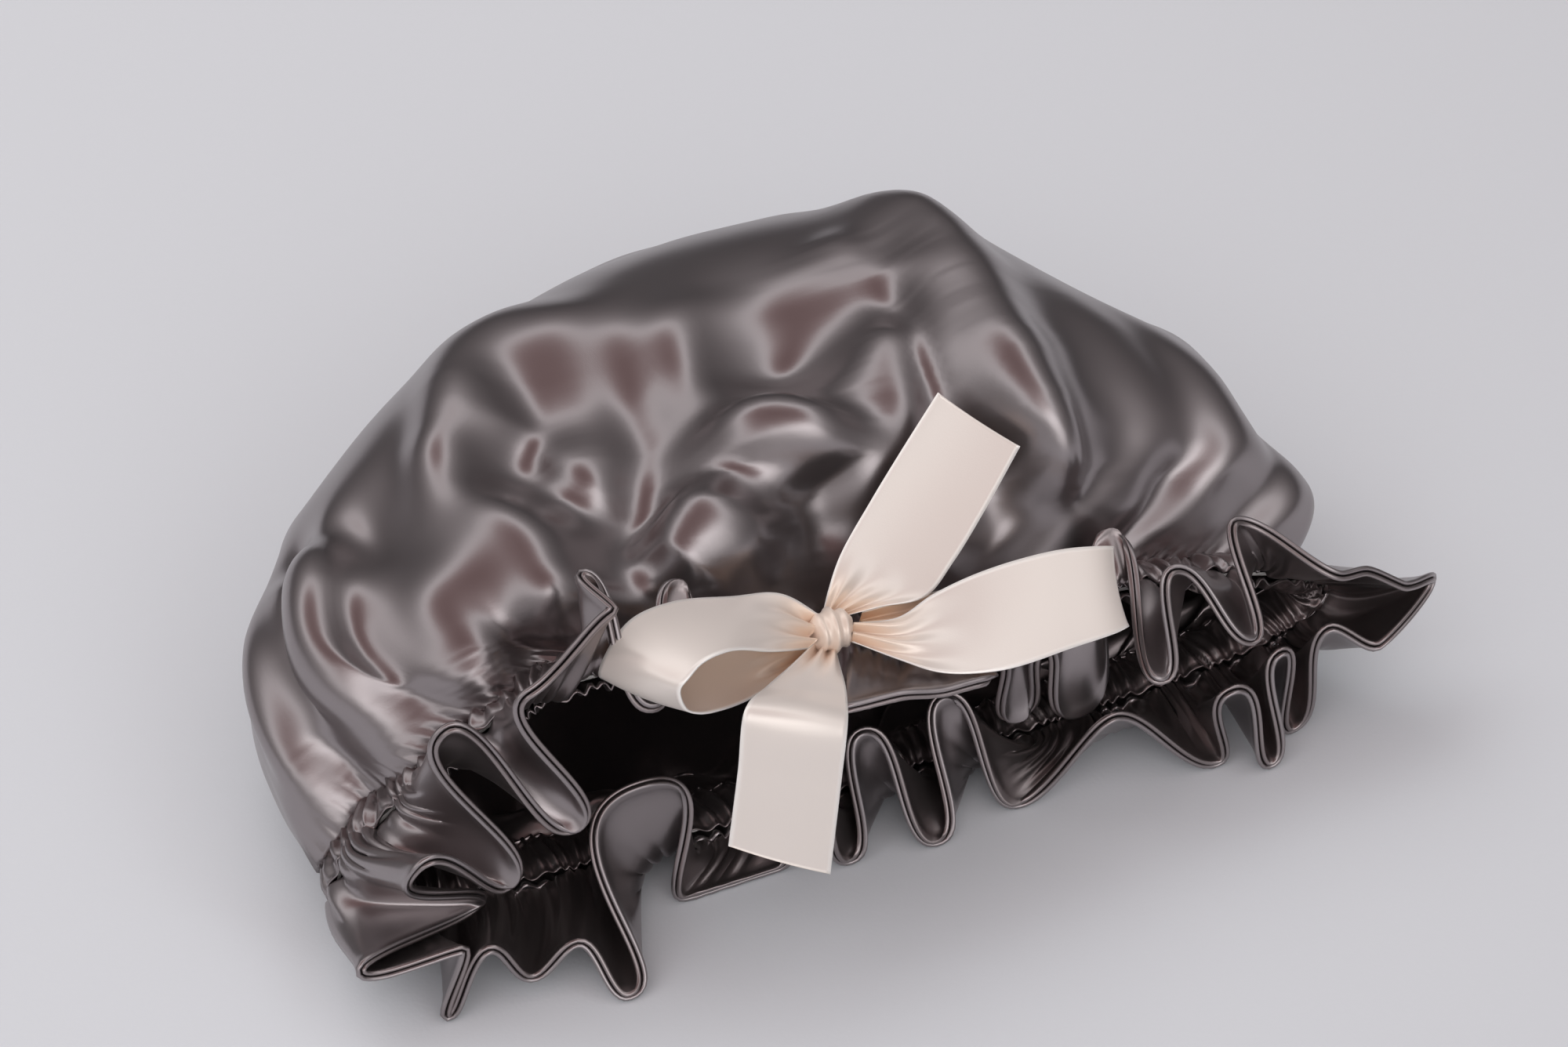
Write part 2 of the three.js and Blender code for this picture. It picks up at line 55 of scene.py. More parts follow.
# Photograph and camera. The eye stands off its target by direction and distance, and looks at its aim.
PHOTO_WIDTH = 2000
PHOTO_HEIGHT = 1336
LENS = 84.24
SENSOR = 36.0
EYE_AZIMUTH = -24
EYE_ELEVATION = 42
EYE_DISTANCE = 900
EYE_TARGET = np.array([0.0, -78.0, 30.0])
EYE_AIM = np.array([-1.8, -46.5, 61.2])

# Lip line, casing and crown, as in the part's source. Each turn of the lip line has its shares of the
# opening's width, of its bulge and of its gape. Each section of the crown has its share of the depth, its
# left and right end, its top, its peak's place across and the height where it is widest.
OPENING_WIDTH = 258
OPENING_GAPE = 57
LIP_HEIGHT = 7
OPENING_FRONT = -78
LIP_BULGE = 5
LEFT_FLARE = 16
RIGHT_FLARE = 34
TOP_FLARE = 16
CASING_HALF = 6.6
CROWN_DEPTH = 150
CROWN_HEIGHT = 97
CROWN_WIDTH = 276
LIP_LINE = np.array([
    [-0.5, 0, 0.16], [-0.45, 0.4, 0.54], [-0.29, 0.8, 1.0], [-0.08, 1.0, 0.84], [0.15, 0.8, 0.72],
    [0.36, 0.4, 0.58], [0.5, 0, 0.3], [0.4, 0, 0.05], [0.12, 0.4, 0], [-0.19, 0.8, 0], [-0.41, 0.4, 0.02],
])
RIGHT_CORNER = 6
CROWN_SECTIONS = [
    [0.11, -0.48, 0.505, 0.82, -0.04, 0.29], [0.31, -0.485, 0.5, 0.95, -0.02, 0.33],
    [0.53, -0.43, 0.405, 0.99, 0.02, 0.35], [0.75, -0.3, 0.31, 0.93, 0.065, 0.35],
    [0.91, -0.145, 0.225, 0.76, 0.087, 0.33], [1.0, -0.02, 0.152, 0.53, 0.087, 0.29],
]
CROWN_END = [0.073, 1.02, 0.26]
SECTION_ROUNDNESS = 0.85
PEAK_PULL = 0.8
UNDERSIDE_DROP = 1.12
UNDERSIDE_SPREAD = 0.6
LIP_STEPS = 80
LIP_REACH = 2.0
LOFT_STEPS = 24
GRID_COLUMNS = 720
GRID_ROWS = 160
GRID_EVENING = 12

# Cloth: thickness, distance of a ply from the middle surface, and how it lies down on the table
CLOTH = 0.4
PLY_OFFSET = 0.7
TABLE_GAP = 0.9
LINING_LIFT = 1.4
LYING_LEAST = 0.6
LYING_EASE = 6

# Cells of the crown's mesh: their size in the outer cloth, in the lining and at the casing, the share of
# the way back over which they grow, and the fewest in a ring
CROWN_CELL = 1.55
LINING_CELL = 2.4
CASING_CELL = 1.2
CELL_GROWTH = 0.2
FEWEST_CELLS = 6

# Gathers anywhere: the least and most of their spacing and height, against the mean
GATHER_STEPS = (0.6, 1.4)
GATHER_HEIGHTS = (0.55, 1.1)

# Casing: spacing and height of its gathers, shares of fine and broad ones, how they lean, how they calm
# towards the stitch rows, and how far they run into the crown. Places across are shares of half the casing.
GATHER_SPACING = 3.7
GATHER_HEIGHT = 3.1
FINE_SHARE = 0.8
FINE_SEED = 3
BROAD_SHARE = 0.35
BROAD_SPACING = 2.3
BROAD_SEED = 5
LEAN = 0.1
LEAN_DRIFT = 0.35
LEAN_SPACING = 5
LEAN_SEED = 9
CALM = 0.2
CALM_FROM = 0.55
CALM_OVER = 0.4
TIGHT_REACH = 9

# Casing's cross-section: it arches over the elastic and sinks in at the stitch rows
CASING_ARCH = 1.1
ARCH_FROM = 0.35
ARCH_OVER = 0.55
STITCH_SINK = 0.5
SINK_AT = 0.9
SINK_WIDTH = 0.09
CASING_STEP = 0.45
CASING_ROWS = 17
CASING_PATTERN = 13

# Stitch rows: their distance from the casing's middle, and the stitches in them
STITCH_ROW = 5.9
STITCH_STEP = 3.0
STITCH_LENGTH = 2.3
THREAD_WIDTH = 0.32
STITCH_SIDES = 8
STITCH_RINGS = 5
STITCH_LINE_STEP = 0.6

# Elastic band in the casing
ELASTIC_HALF_WIDTH = 4
ELASTIC_HALF_THICK = 0.4
ELASTIC_COLUMNS = 480

# Ruffle: depth, cells, the two plies' distance from its middle, the bead where the seam rolls them together
# at the rim, and how it starts at the casing and lies on the table
RUFFLE_DEPTH = 31
RUFFLE_STEP = 1.3
RUFFLE_ROWS = 14
ROW_CROWDING = 0.9
RIM_STEPS = 60
NORMAL_STEP = 0.02
PLY_NEAR = 0.12
PLY_FAR = 0.6
BEAD_RADIUS = 0.62
BEAD_CENTRE = 0.74
BEAD_FROM = 3.2
BEAD_OVER = 2.4
BEAD_STEPS = 7
FLUTE_BASE = 1.6
RIM_ON_TABLE = 1.6
RUFFLE_GAP = 0.15
RUFFLE_EASE = 0.05

# Turning points of the ruffle's rim, from the left corner over the upper lip and back along the lower one:
# place along the lip, pixel in the photograph, roundness of the turn, and how it is carried: towards the
# eye, pressed down by the bow, level with the casing, behind it or on the table.
TOWARDS, PRESSED, LEVEL, BEHIND = -1, -0.3, 0, 0.8
TABLE = "table"
RIM_TURNS = [
    (0, 462, 1244, 0.6, TOWARDS), (8, 620, 1151, 0.6, TOWARDS), (16, 532, 1112, 1.3, TOWARDS),
    (26, 658, 1131, 0.8, TOWARDS), (40, 564, 934, 0.9, TOWARDS), (56, 742, 1060, 0.8, TOWARDS),
    (66, 676, 884, 0.9, TOWARDS), (76, 783, 778, 0.5, TOWARDS), (82, 742, 728, 0.8, TOWARDS),
    (92, 835, 905, 0.9, PRESSED), (102, 862, 738, 0.9, LEVEL), (114, 905, 905, 0.9, PRESSED),
    (124, 960, 880, 0.9, PRESSED), (136, 1010, 920, 0.9, PRESSED), (148, 1086, 905, 0.9, TOWARDS),
    (160, 1146, 890, 0.9, TOWARDS), (172, 1206, 885, 0.9, TOWARDS), (183, 1254, 872, 0.9, TOWARDS),
    (190, 1272, 848, 0.8, PRESSED), (197, 1297, 921, 1.2, BEHIND), (203, 1331, 832, 0.8, PRESSED),
    (210, 1371, 916, 1.3, BEHIND), (222, 1413, 674, 0.9, LEVEL), (234, 1484, 871, 0.9, TOWARDS),
    (243, 1500, 726, 1.0, TOWARDS), (252, 1597, 820, 0.9, TOWARDS), (262, 1580, 663, 0.9, TOWARDS),
    (271, 1713, 735, 0.8, TOWARDS), (277, 1746, 729, 0.8, TOWARDS), (282, 1791, 747, 0.8, TOWARDS),
    (288, 1831, 741, 0.6, TOWARDS), (295, 1763, 823, 0.8, TOWARDS), (302, 1694, 802, 0.8, TOWARDS),
    (308, 1653, 933, 0.9, TABLE), (314, 1634, 832, 0.9, TOWARDS), (320, 1624, 978, 0.8, TABLE),
    (326, 1572, 881, 1.3, TOWARDS), (333, 1556, 976, 0.8, TABLE), (346, 1421, 915, 0.7, TOWARDS),
    (362, 1298, 1030, 0.9, TABLE), (382, 1202, 887, 0.9, TOWARDS), (394, 1196, 1078, 0.9, TABLE),
    (406, 1099, 932, 0.9, TOWARDS), (418, 1084, 1102, 0.9, TABLE), (428, 1030, 1010, 0.9, TOWARDS),
    (440, 990, 1112, 0.9, TABLE), (458, 876, 1148, 0.9, TABLE), (472, 821, 998, 2.0, TOWARDS),
    (484, 803, 1274, 0.9, TABLE), (495, 736, 1205, 0.9, TOWARDS), (506, 681, 1250, 0.9, TOWARDS),
    (517, 625, 1213, 0.8, TOWARDS), (527, 572, 1301, 0.5, TABLE), (536, 592, 1213, 0.5, TOWARDS),
]

# Folds of the crown, drawn on the photograph: pixels along the fold, height of its crest (sunk if
# negative), and how wide it is on its left and on its right, looking along it.
CROWN_FOLDS = [
    ([(1075, 262), (1140, 300), (1200, 362), (1240, 440), (1290, 520), (1340, 590), (1388, 660)], 6.0, 16, 8),
    ([(1100, 330), (1160, 400), (1192, 470), (1215, 540), (1270, 620), (1320, 690)], -5.0, 7, 9),
    ([(1110, 360), (1155, 440), (1160, 510), (1125, 590), (1085, 660)], 3.0, 8, 10),
    ([(890, 440), (980, 440), (1065, 410)], -7.0, 16, 18),
    ([(830, 390), (880, 460), (905, 525)], 3.0, 12, 10),
    ([(775, 420), (820, 500), (845, 570), (830, 640), (805, 690)], -5.5, 11, 12),
    ([(855, 585), (832, 650), (800, 715)], -3.5, 7, 7),
    ([(610, 440), (680, 425), (760, 430)], 2.5, 10, 12),
    ([(640, 480), (680, 520), (730, 575)], -4.0, 13, 13),
    ([(600, 432), (585, 520), (565, 600), (545, 680)], 3.5, 12, 12),
    ([(575, 615), (630, 592), (690, 608), (755, 655), (800, 702), (832, 738)], -4.5, 7, 9),
    ([(600, 650), (655, 670), (700, 730), (730, 800)], 5.5, 8, 9),
    ([(520, 720), (565, 780), (605, 840), (650, 900)], 3.5, 10, 10),
    ([(660, 770), (672, 840), (680, 890)], -4.0, 5, 5),
    ([(418, 800), (470, 850), (540, 905)], -3.5, 7, 7),
    ([(445, 645), (470, 690), (490, 725)], -3.0, 8, 8),
    ([(372, 690), (376, 763), (384, 835), (414, 910), (440, 970), (478, 1010)], -4.5, 4, 4),
    ([(402, 710), (412, 800), (445, 885), (500, 935), (550, 965)], 4.0, 10, 7),
    ([(345, 760), (347, 850), (372, 950), (420, 1050), (468, 1118)], 2.5, 9, 9),
    ([(1386, 545), (1460, 588), (1560, 632)], -3.0, 10, 9),
    ([(1590, 600), (1573, 665)], -2.0, 5, 5),
    ([(1560, 470), (1640, 545), (1690, 620)], -1.6, 24, 24),
    ([(845, 738), (870, 625), (930, 562), (1000, 545), (1070, 570), (1095, 625)], 4.0, 5, 9),
    ([(965, 620), (955, 690), (945, 740)], 3.5, 10, 10),
    ([(1005, 560), (1030, 620), (1040, 700), (1050, 750)], -7.0, 8, 7),
]

# Creases of the crown, where one part of the cloth stands over the next: pixels along the crease, height of
# its edge, and how far it falls away on its left and on its right, looking along it.
CROWN_CREASES = [
    ([(1120, 318), (1147, 346), (1180, 387), (1196, 424), (1208, 465), (1226, 515), (1262, 575)],
     4.0, 14, 2.5),
    ([(1241, 362), (1269, 424), (1298, 493), (1343, 554), (1380, 607), (1392, 664)], 2.5, 10, 4),
    ([(575, 566), (602, 552), (630, 556), (664, 568), (699, 590), (733, 618), (778, 655), (830, 712)],
     3.0, 12, 3),
    ([(420, 638), (423, 707), (420, 759), (427, 810), (451, 845), (499, 872), (544, 897)], 5.0, 2.2, 9),
    ([(375, 724), (373, 776), (378, 828), (403, 890), (440, 960)], 4.5, 9, 2.5),
    ([(894, 567), (935, 546), (984, 538), (1029, 546), (1061, 562), (1086, 595)], 6.5, 4, 14),
    ([(914, 603), (890, 652), (853, 709), (829, 762)], 8.0, 14, 3),
    ([(695, 707), (690, 780), (688, 838)], 3.0, 8, 2.2),
    ([(595, 776), (616, 810), (630, 862), (640, 897)], 3.5, 4, 10),
    ([(1143, 411), (1122, 444), (1098, 493), (1086, 526)], 2.0, 5, 5),
    ([(1163, 411), (1147, 452), (1147, 505), (1135, 567)], 2.5, 5, 5),
    ([(1029, 301), (1086, 326), (1127, 362), (1139, 387)], 2.5, 5, 12),
    ([(1371, 505), (1388, 587), (1404, 648)], -3.0, 8, 5),
    ([(602, 449), (582, 511), (561, 559), (547, 604)], 2.0, 8, 5),
]

# How drawn folds and creases are shaped: steps along the line, gain on the drawn height, roundness of the
# crest, how the ends taper, how near the line the cloth is held, how far a crease reaches and how it is
# smoothed
FOLD_STEPS = 12
FOLD_GAIN = 3.2
FOLD_CREST = 3.0
FOLD_TAPER = 0.3
FOLD_BLUNTNESS = 0.2
FOLD_HELD = 4.0
CREASE_STEPS = 30
CREASE_GAIN = 1.6
CREASE_CREST = 1.5
CREASE_REACH = 5
CREASE_SMOOTHING = 5
CREASE_STEADYING = 25

# Waves from the casing into the crown: height, spacing, seed, and how far back each one is full, begins to
# fade and goes on fading. The cloth's own unevenness comes on top. Ways back are out of the crown's run.
CROWN_RUN = 190
CROWN_WAVES = [(2.4, 15, 7, 6, 8, 34), (2.0, 31, 12, 14, 18, 80)]
UNEVENNESS = 0.7
UNEVEN_SCALE = 0.02
UNEVEN_FULL = 40

# Hanging folds on the side that the photograph doesn't show: where they begin, how wide, tall and deep they
# are, how much finer and shallower the small ones between them are, and how firmly the cloth is held there
FAR_FACING = 0.05
FAR_TURN = 0.45
FAR_FOOT = 3
FAR_RISE = 14
FAR_WIDTH = 30
FAR_DROP = 190
FAR_FOLD = 16
FAR_CREST = 0.3
FAR_VALLEY = 1.7
FAR_FINER = 2.3
FAR_SHALLOWER = 3
FAR_HELD = 0.8

# Folds of the lining behind the lower lip: depth, spacing, seed and lean, then where they lie along the lip
# and how far back they begin and fade
LINING_FOLD = 8
LINING_SPACING = 17
LINING_SEED = 21
LINING_LEAN = 0.35
LOWER_LIP_FROM = 300
LOWER_LIP_TO = 540
LOWER_LIP_EASE = 20
LINING_FROM = 2
LINING_RISE = 9
LINING_FADE_FROM = 22
LINING_FADE = 45

# How the crown's cloth settles: size of its cells, how much deeper than drawn its cut makes the folds, how
# firmly a point keeps its place, share of gravity, steps, metres to a millimetre, smoothing after it, and
# the cloth
DRAPE_CELL = 3.4
DRAPE_SLACK = 1.05
DRAPE_HOLD = 0.3
DRAPE_FOLD_HOLD = 0.95
DRAPE_GRAVITY = 0.3
DRAPE_STEPS = 20
DRAPE_SCALE = 0.01
DRAPE_SMOOTHING = 4
DRAPE_CLOTH = {
    "quality": 6, "mass": 0.3, "tension_stiffness": 30, "compression_stiffness": 30, "shear_stiffness": 12,
    "bending_stiffness": 4, "tension_damping": 6, "compression_damping": 6, "shear_damping": 6,
    "bending_damping": 0.5, "air_damping": 2, "pin_stiffness": 1,
}

# Ribbon: width, thickness with its selvedges, cupping, cells, and the pleats in which it leaves the knot
RIBBON_WIDTH = 25
RIBBON_HALF_THICK = 0.16
RIBBON_CUP = 0.9
SELVEDGE = 0.1
SELVEDGE_WIDTH = 0.05
PALE_FROM = 0.9
PALE_OVER = 0.06
RIBBON_STEPS = 24
RIBBON_STEP = 0.9
RIBBON_CELLS = 20
RIBBON_PATTERN = 0.49
PLEATS_ACROSS = 2.5
LOOP_PLEATS = 1.4
TAIL_PLEATS = 1.2
LEFT_PLEAT_RUN = 24
RIGHT_PLEAT_RUN = 30
TAIL_PLEAT_RUN = 20
# Painted warm glow on a loop's inner face, standing for light through and between its plies
LOOP_PAINTED_GLOW = 0.35

# Bow, drawn on the photograph. A ribbon's stations give a pixel and a height over the bow's plane for
# its first edge, then for its second one.
LEFT_LOOP = [
    ((1040, 788), 2, (1036, 826), 3), ((992, 760), 5, (985, 830), 11), ((930, 762), 6, (929, 831), 19),
    ((860, 768), 6, (896, 846), 20), ((806, 790), 7, (878, 866), 19), ((776, 828), 7, (868, 880), 17),
    ((764, 862), 3, (876, 905), 11), ((800, 860), -1, (890, 910), 8), ((845, 838), -1, (908, 909), 6),
    ((930, 812), -2, (955, 893), 2), ((1038, 800), -3, (1032, 842), -3),
]
RIGHT_LOOP = [
    ((1088, 792), 3, (1086, 822), 3), ((1146, 786), 5, (1147, 844), 5), ((1190, 758), 6, (1200, 859), 7),
    ((1262, 726), 8, (1279, 855), 9), ((1350, 702), 9, (1370, 826), 9), ((1410, 697), 8, (1428, 806), 8),
    ((1420, 698), 6, (1439, 799), 6), ((1406, 700), 4, (1424, 803), 4), ((1340, 708), 3, (1360, 822), 3),
    ((1250, 738), 1, (1270, 842), 1), ((1098, 784), -2, (1095, 815), -2),
]
UPPER_TAIL = [
    ((1052, 776), 0, (1078, 786), 0), ((1058, 750), 1, (1120, 776), 1.5), ((1072, 708), 2, (1180, 762), 2.5),
    ((1110, 640), 4, (1216, 717), 4), ((1150, 574), 6, (1258, 648), 6), ((1196, 501), 8, (1301, 570), 8),
]
LOWER_TAIL = [
    ((1042, 822), -1, (1068, 824), -1), ((1014, 846), 5, (1074, 855), 5), ((976, 878), 12, (1080, 888), 12),
    ((950, 906), 18, (1081, 925), 18), ((941, 985), 7, (1072, 1005), 7), ((929, 1079), -9, (1059, 1115), -11),
]

# Knot: where it is seen, its height over the bow's plane, half its size, cells, its pleats, how its sides
# draw in and swell, and how much painted warm glow the ribbon gets in it, standing for light through its
# folds
KNOT_PIXEL = (1060, 804)
KNOT_LIFT = 1.5
KNOT_HALF_WIDTH = 4.8
KNOT_HALF_HEIGHT = 5.2
KNOT_HALF_DEPTH = 5.0
KNOT_TURNS = 64
KNOT_CELLS = 28
KNOT_PLEAT = 0.5
KNOT_PLEATS = 9
KNOT_PLEAT_SWAY = 0.8
KNOT_DRAW = 0.86
KNOT_SWELL = 0.08
KNOT_PAINTED_GLOW = 0.5

# Colours, each with the shade that it drifts to
PEWTER = (0.34, 0.313, 0.317)
PEWTER_SHADE = (0.3, 0.263, 0.267)
# Lining: the outer pewter made darker and redder, painted shade for the cap's inside with a reddish cast like
# the reflections in it
SHADED_INSIDE_PEWTER = (0.31, 0.275, 0.275)
SHADED_INSIDE_PEWTER_DRIFT = (0.27, 0.23, 0.23)
IVORY = (0.77, 0.705, 0.65)
IVORY_SHADE = (0.74, 0.68, 0.635)
# Painted warm glow: the ribbon's colour where light through and between its folded plies warms it
PAINTED_WARM_GLOW = (0.86, 0.56, 0.34)
PALE_EDGE = (0.95, 0.92, 0.88)
ELASTIC_WHITE = (0.7, 0.68, 0.66)
ELASTIC_SHADE = (0.6, 0.58, 0.56)
STITCH_GREY = (0.2, 0.18, 0.183)
STITCH_SHADE = (0.15, 0.135, 0.138)
TACK_IVORY = (0.68, 0.58, 0.5)
TACK_SHADE = (0.58, 0.49, 0.42)
FLOOR_PALE = (0.65, 0.675, 0.705)
FLOOR_SHADE = (0.645, 0.67, 0.7)

# Finishes: how rough and how metallic each is, its sheen, how fast its colour drifts, its weave's scale
# and strength, and the noise's detail in both
SATIN_ROUGHNESS = 0.31
SATIN_GLOSS = 0.95
LINING_ROUGHNESS = 0.3
LINING_GLOSS = 0.93
SATIN_SHEEN = 0.02
SHEEN_ROUGHNESS = 0.35
SATIN_DRIFT = 18
SATIN_WEAVE = (2600, 0.05)
RIBBON_ROUGHNESS = 0.3
RIBBON_GLOSS = 0.25
RIBBON_SHEEN = 0.15
RIBBON_DRIFT = 30
RIBBON_WEAVE = (2200, 0.06)
ELASTIC_ROUGHNESS = 0.85
STITCH_ROUGHNESS = 0.5
TACK_ROUGHNESS = 0.7
FLOOR_ROUGHNESS = 0.7
MATT_DRIFT = 240
MATT_WEAVE = (900, 0.15)
WEAVE_DEPTH = 0.0002
DRIFT_DETAIL = 2
WEAVE_DETAIL = 1

# Studio, as the cloth reflects it: dark and brown over the camera, with a light ring round that and grey
# walls. Each tone reaches as far from the dark's middle as its number says, the cosine of the angle.
STUDIO_DARK_AT = (-0.2, -0.3, 0.93)
STUDIO_TONES = [
    (-1.0, (0.03, 0.028, 0.03)),
    (-0.3, (0.04, 0.037, 0.04)),
    (0.2, (0.2, 0.188, 0.192)),
    (0.56, (0.46, 0.437, 0.442)),
    (0.69, (1.4, 1.4, 1.42)),
    (0.77, (1.4, 1.4, 1.41)),
    (0.86, (0.42, 0.27, 0.265)),
    (1.0, (0.28, 0.17, 0.165)),
]
LOW_LIGHT_AT = (0.1, -0.93, 0.34)
LOW_LIGHT_EDGE = 0.86
LOW_LIGHT = 1.3

# Lamps, which light the floor and the ribbon, but which the satin doesn't mirror: name, place and size in
# metres, power and colour. They aim at a height over the origin.
LAMPS = [
    ("key", (-0.4, 0.6, 1.25), (1.6, 1.0), 6.4, (1.0, 0.99, 0.99)),
    ("fill", (-0.7, -0.75, 1.1), (1.2, 0.8), 4, (0.97, 0.98, 1.0)),
]
LAMP_AIM = 0.04
FLOOR_HALF = 3.0

# Least values, so that nothing is divided by zero
TINY = 1e-12
LEAST_GAP = 1e-4


# Small mathematics

def unit(v):
    """Vectors made one long."""
    return v / np.linalg.norm(v, axis=-1, keepdims=True)


def ramp(x):
    """Smooth step from 0 to 1."""
    x = np.clip(x, 0, 1)
    return x * x * (3 - 2 * x)


def signed_power(x, p):
    """A power that keeps the sign."""
    return np.sign(x) * np.abs(x) ** p


def hermite(a, b, from_a, to_b, t):
    """Cubic from a to b that leaves along from_a and arrives along to_b."""
    return ((2 * t**3 - 3 * t**2 + 1) * a + (t**3 - 2 * t**2 + t) * from_a
            + (3 * t**2 - 2 * t**3) * b + (t**3 - t**2) * to_b)


def open_spline(points, steps):
    """Centripetal curve through points of shape (n, ..., 3), with steps samples to each stretch."""
    p = np.asarray(points, float)
    p = np.concatenate([[2 * p[0] - p[1]], p, [2 * p[-1] - p[-2]]])
    gap = np.sqrt(np.linalg.norm(np.diff(p, axis=0), axis=-1, keepdims=True)).clip(LEAST_GAP)
    out = []
    for i in range(1, len(p) - 2):
        g0, g1, g2 = gap[i - 1], gap[i], gap[i + 1]
        start = ((p[i] - p[i - 1]) / g0 - (p[i + 1] - p[i - 1]) / (g0 + g1) + (p[i + 1] - p[i]) / g1) * g1
        stop = ((p[i + 1] - p[i]) / g1 - (p[i + 2] - p[i]) / (g1 + g2) + (p[i + 2] - p[i + 1]) / g2) * g1
        out += [hermite(p[i], p[i + 1], start, stop, k / steps) for k in range(steps)]
    out.append(p[-2])
    return np.array(out)


def run_of(points):
    """Distance along a line of points, from its start."""
    return np.concatenate([[0], np.cumsum(np.linalg.norm(np.diff(points, axis=0), axis=-1))])


def at_run(points, run, places):
    """Points of a line at given distances from its start."""
    return np.stack([np.interp(places, run, points[:, k]) for k in range(3)], -1)


# Camera

def make_camera():
    """The photograph's camera. Returns its eye and its directions: sight, side and rise."""
    azimuth, elevation = math.radians(EYE_AZIMUTH), math.radians(EYE_ELEVATION)
    level = math.cos(elevation)
    back = np.array([math.sin(azimuth) * level, -math.cos(azimuth) * level, math.sin(elevation)])
    eye = EYE_TARGET + back * EYE_DISTANCE
    data = bpy.data.cameras.new("camera")
    data.lens = LENS
    data.sensor_width = SENSOR
    camera = bpy.data.objects.new("camera", data)
    camera.location = eye * MM
    camera.rotation_euler = Vector(EYE_AIM - eye).to_track_quat("-Z", "Y").to_euler()
    bpy.context.scene.collection.objects.link(camera)
    bpy.context.scene.camera = camera
    sight = unit(EYE_AIM - eye)
    side = unit(np.cross(sight, [0, 0, 1]))
    return eye, sight, side, np.cross(side, sight)


EYE, SIGHT, SIDE, RISE = make_camera()
FOCAL = LENS / SENSOR * PHOTO_WIDTH


def ray(pixel):
    """Direction from the eye through a pixel of the photograph."""
    x, y = pixel
    return unit(SIGHT + SIDE * (x - PHOTO_WIDTH / 2) / FOCAL + RISE * (PHOTO_HEIGHT / 2 - y) / FOCAL)


def on_plane(pixel, point, normal):
    """Where a pixel's ray meets a plane."""
    way = ray(pixel)
    return EYE + way * ((point - EYE) @ normal) / (way @ normal)


# Lip line

def make_lip():
    """The closed lip line, the distances along it, and that of its right corner."""
    p = np.stack([LIP_LINE[:, 0] * OPENING_WIDTH, OPENING_FRONT - LIP_LINE[:, 1] * LIP_BULGE,
                  LIP_HEIGHT + LIP_LINE[:, 2] * OPENING_GAPE], 1)
    out = []
    for i in range(len(p)):
        before, a, b, after = (p[(i + k) % len(p)] for k in (-1, 0, 1, 2))
        out += [hermite(a, b, (b - before) / 2, (after - a) / 2, k / LIP_STEPS) for k in range(LIP_STEPS)]
    out.append(p[0])
    line = np.array(out)
    run = run_of(line)
    return line, run, run[RIGHT_CORNER * LIP_STEPS]


LIP, LIP_RUN, CORNER_RUN = make_lip()
LIP_LENGTH = LIP_RUN[-1]
FORWARD = np.array([0.0, -1.0, 0.0])


def lip(place):
    """Points of the lip line at distances from its left corner."""
    return at_run(LIP, LIP_RUN, np.asarray(place) % LIP_LENGTH)


def lip_axes(place):
    """Directions along the lip, forward past the ruffle and out of the cap."""
    along = unit(lip(place + LIP_REACH) - lip(place - LIP_REACH))
    level = unit(np.cross(FORWARD, along))
    flare = np.radians(
        LEFT_FLARE * np.maximum(0, -level[..., 0]) + RIGHT_FLARE * np.maximum(0, level[..., 0])
        + TOP_FLARE * np.maximum(0, level[..., 2]))[..., None]
    forward = FORWARD * np.cos(flare) + level * np.sin(flare)
    forward = unit(forward - along * np.sum(forward * along, -1, keepdims=True))
    return along, forward, np.cross(forward, along)


def gathers(place, spacing, seed):
    """Uneven wave round the lip, from -1 to 1, whose crests lie about that far apart."""
    rng = np.random.default_rng(seed)
    count = round(LIP_LENGTH / spacing)
    steps = rng.uniform(*GATHER_STEPS, count)
    marks = np.concatenate([[0], np.cumsum(steps)]) / steps.sum() * LIP_LENGTH
    heights = rng.uniform(*GATHER_HEIGHTS, count)
    heights = np.append(heights, heights[0])
    spot = np.asarray(place) % LIP_LENGTH
    phase = np.interp(spot, marks, np.arange(count + 1))
    return np.cos(2 * np.pi * phase) * np.interp(spot, marks, heights)


def casing_height(place, ahead):
    """Height of the casing's cloth over the lip's own surface."""
    across = np.abs(ahead) / CASING_HALF
    lean = place + ahead * (LEAN + LEAN_DRIFT * gathers(place, LEAN_SPACING * GATHER_SPACING, LEAN_SEED))
    wave = (FINE_SHARE * gathers(lean, GATHER_SPACING, FINE_SEED)
            + BROAD_SHARE * gathers(lean, BROAD_SPACING * GATHER_SPACING, BROAD_SEED))
    wave = wave * (1 - CALM * ramp((across - CALM_FROM) / CALM_OVER))
    arch = CASING_ARCH * (1 - ramp((across - ARCH_FROM) / ARCH_OVER))
    sink = STITCH_SINK * np.exp(-((across - SINK_AT) / SINK_WIDTH) ** 2)
    return PLY_OFFSET + arch - sink + GATHER_HEIGHT * (0.5 + 0.5 * wave)


def casing_point(place, ahead, side):
    """A spot of the casing's outer cloth (side 1) or its lining (side -1)."""
    _, forward, out = lip_axes(place)
    height = casing_height(place + (0 if side > 0 else GATHER_SPACING / 2), ahead)
    return lip(place) + forward * ahead[..., None] + out * (side * height)[..., None]


# Meshes

def grid_faces(rows, columns, closed):
    """Quads of a grid of rows and columns; a closed one joins its last column to its first."""
    i, j = np.meshgrid(np.arange(rows - 1), np.arange(columns if closed else columns - 1), indexing="ij")
    k = (j + 1) % columns
    row, after = i * columns, (i + 1) * columns
    return np.stack([row + j, row + k, after + k, after + j], -1).reshape(-1, 4)


def vertex_normals(points, faces):
    """Normals of a mesh of triangles at its points."""
    normals = np.zeros_like(points)
    a, b, c = (points[faces[:, k]] for k in range(3))
    turn = np.cross(b - a, c - a)
    for k in range(3):
        np.add.at(normals, faces[:, k], turn)
    return unit(normals + TINY)


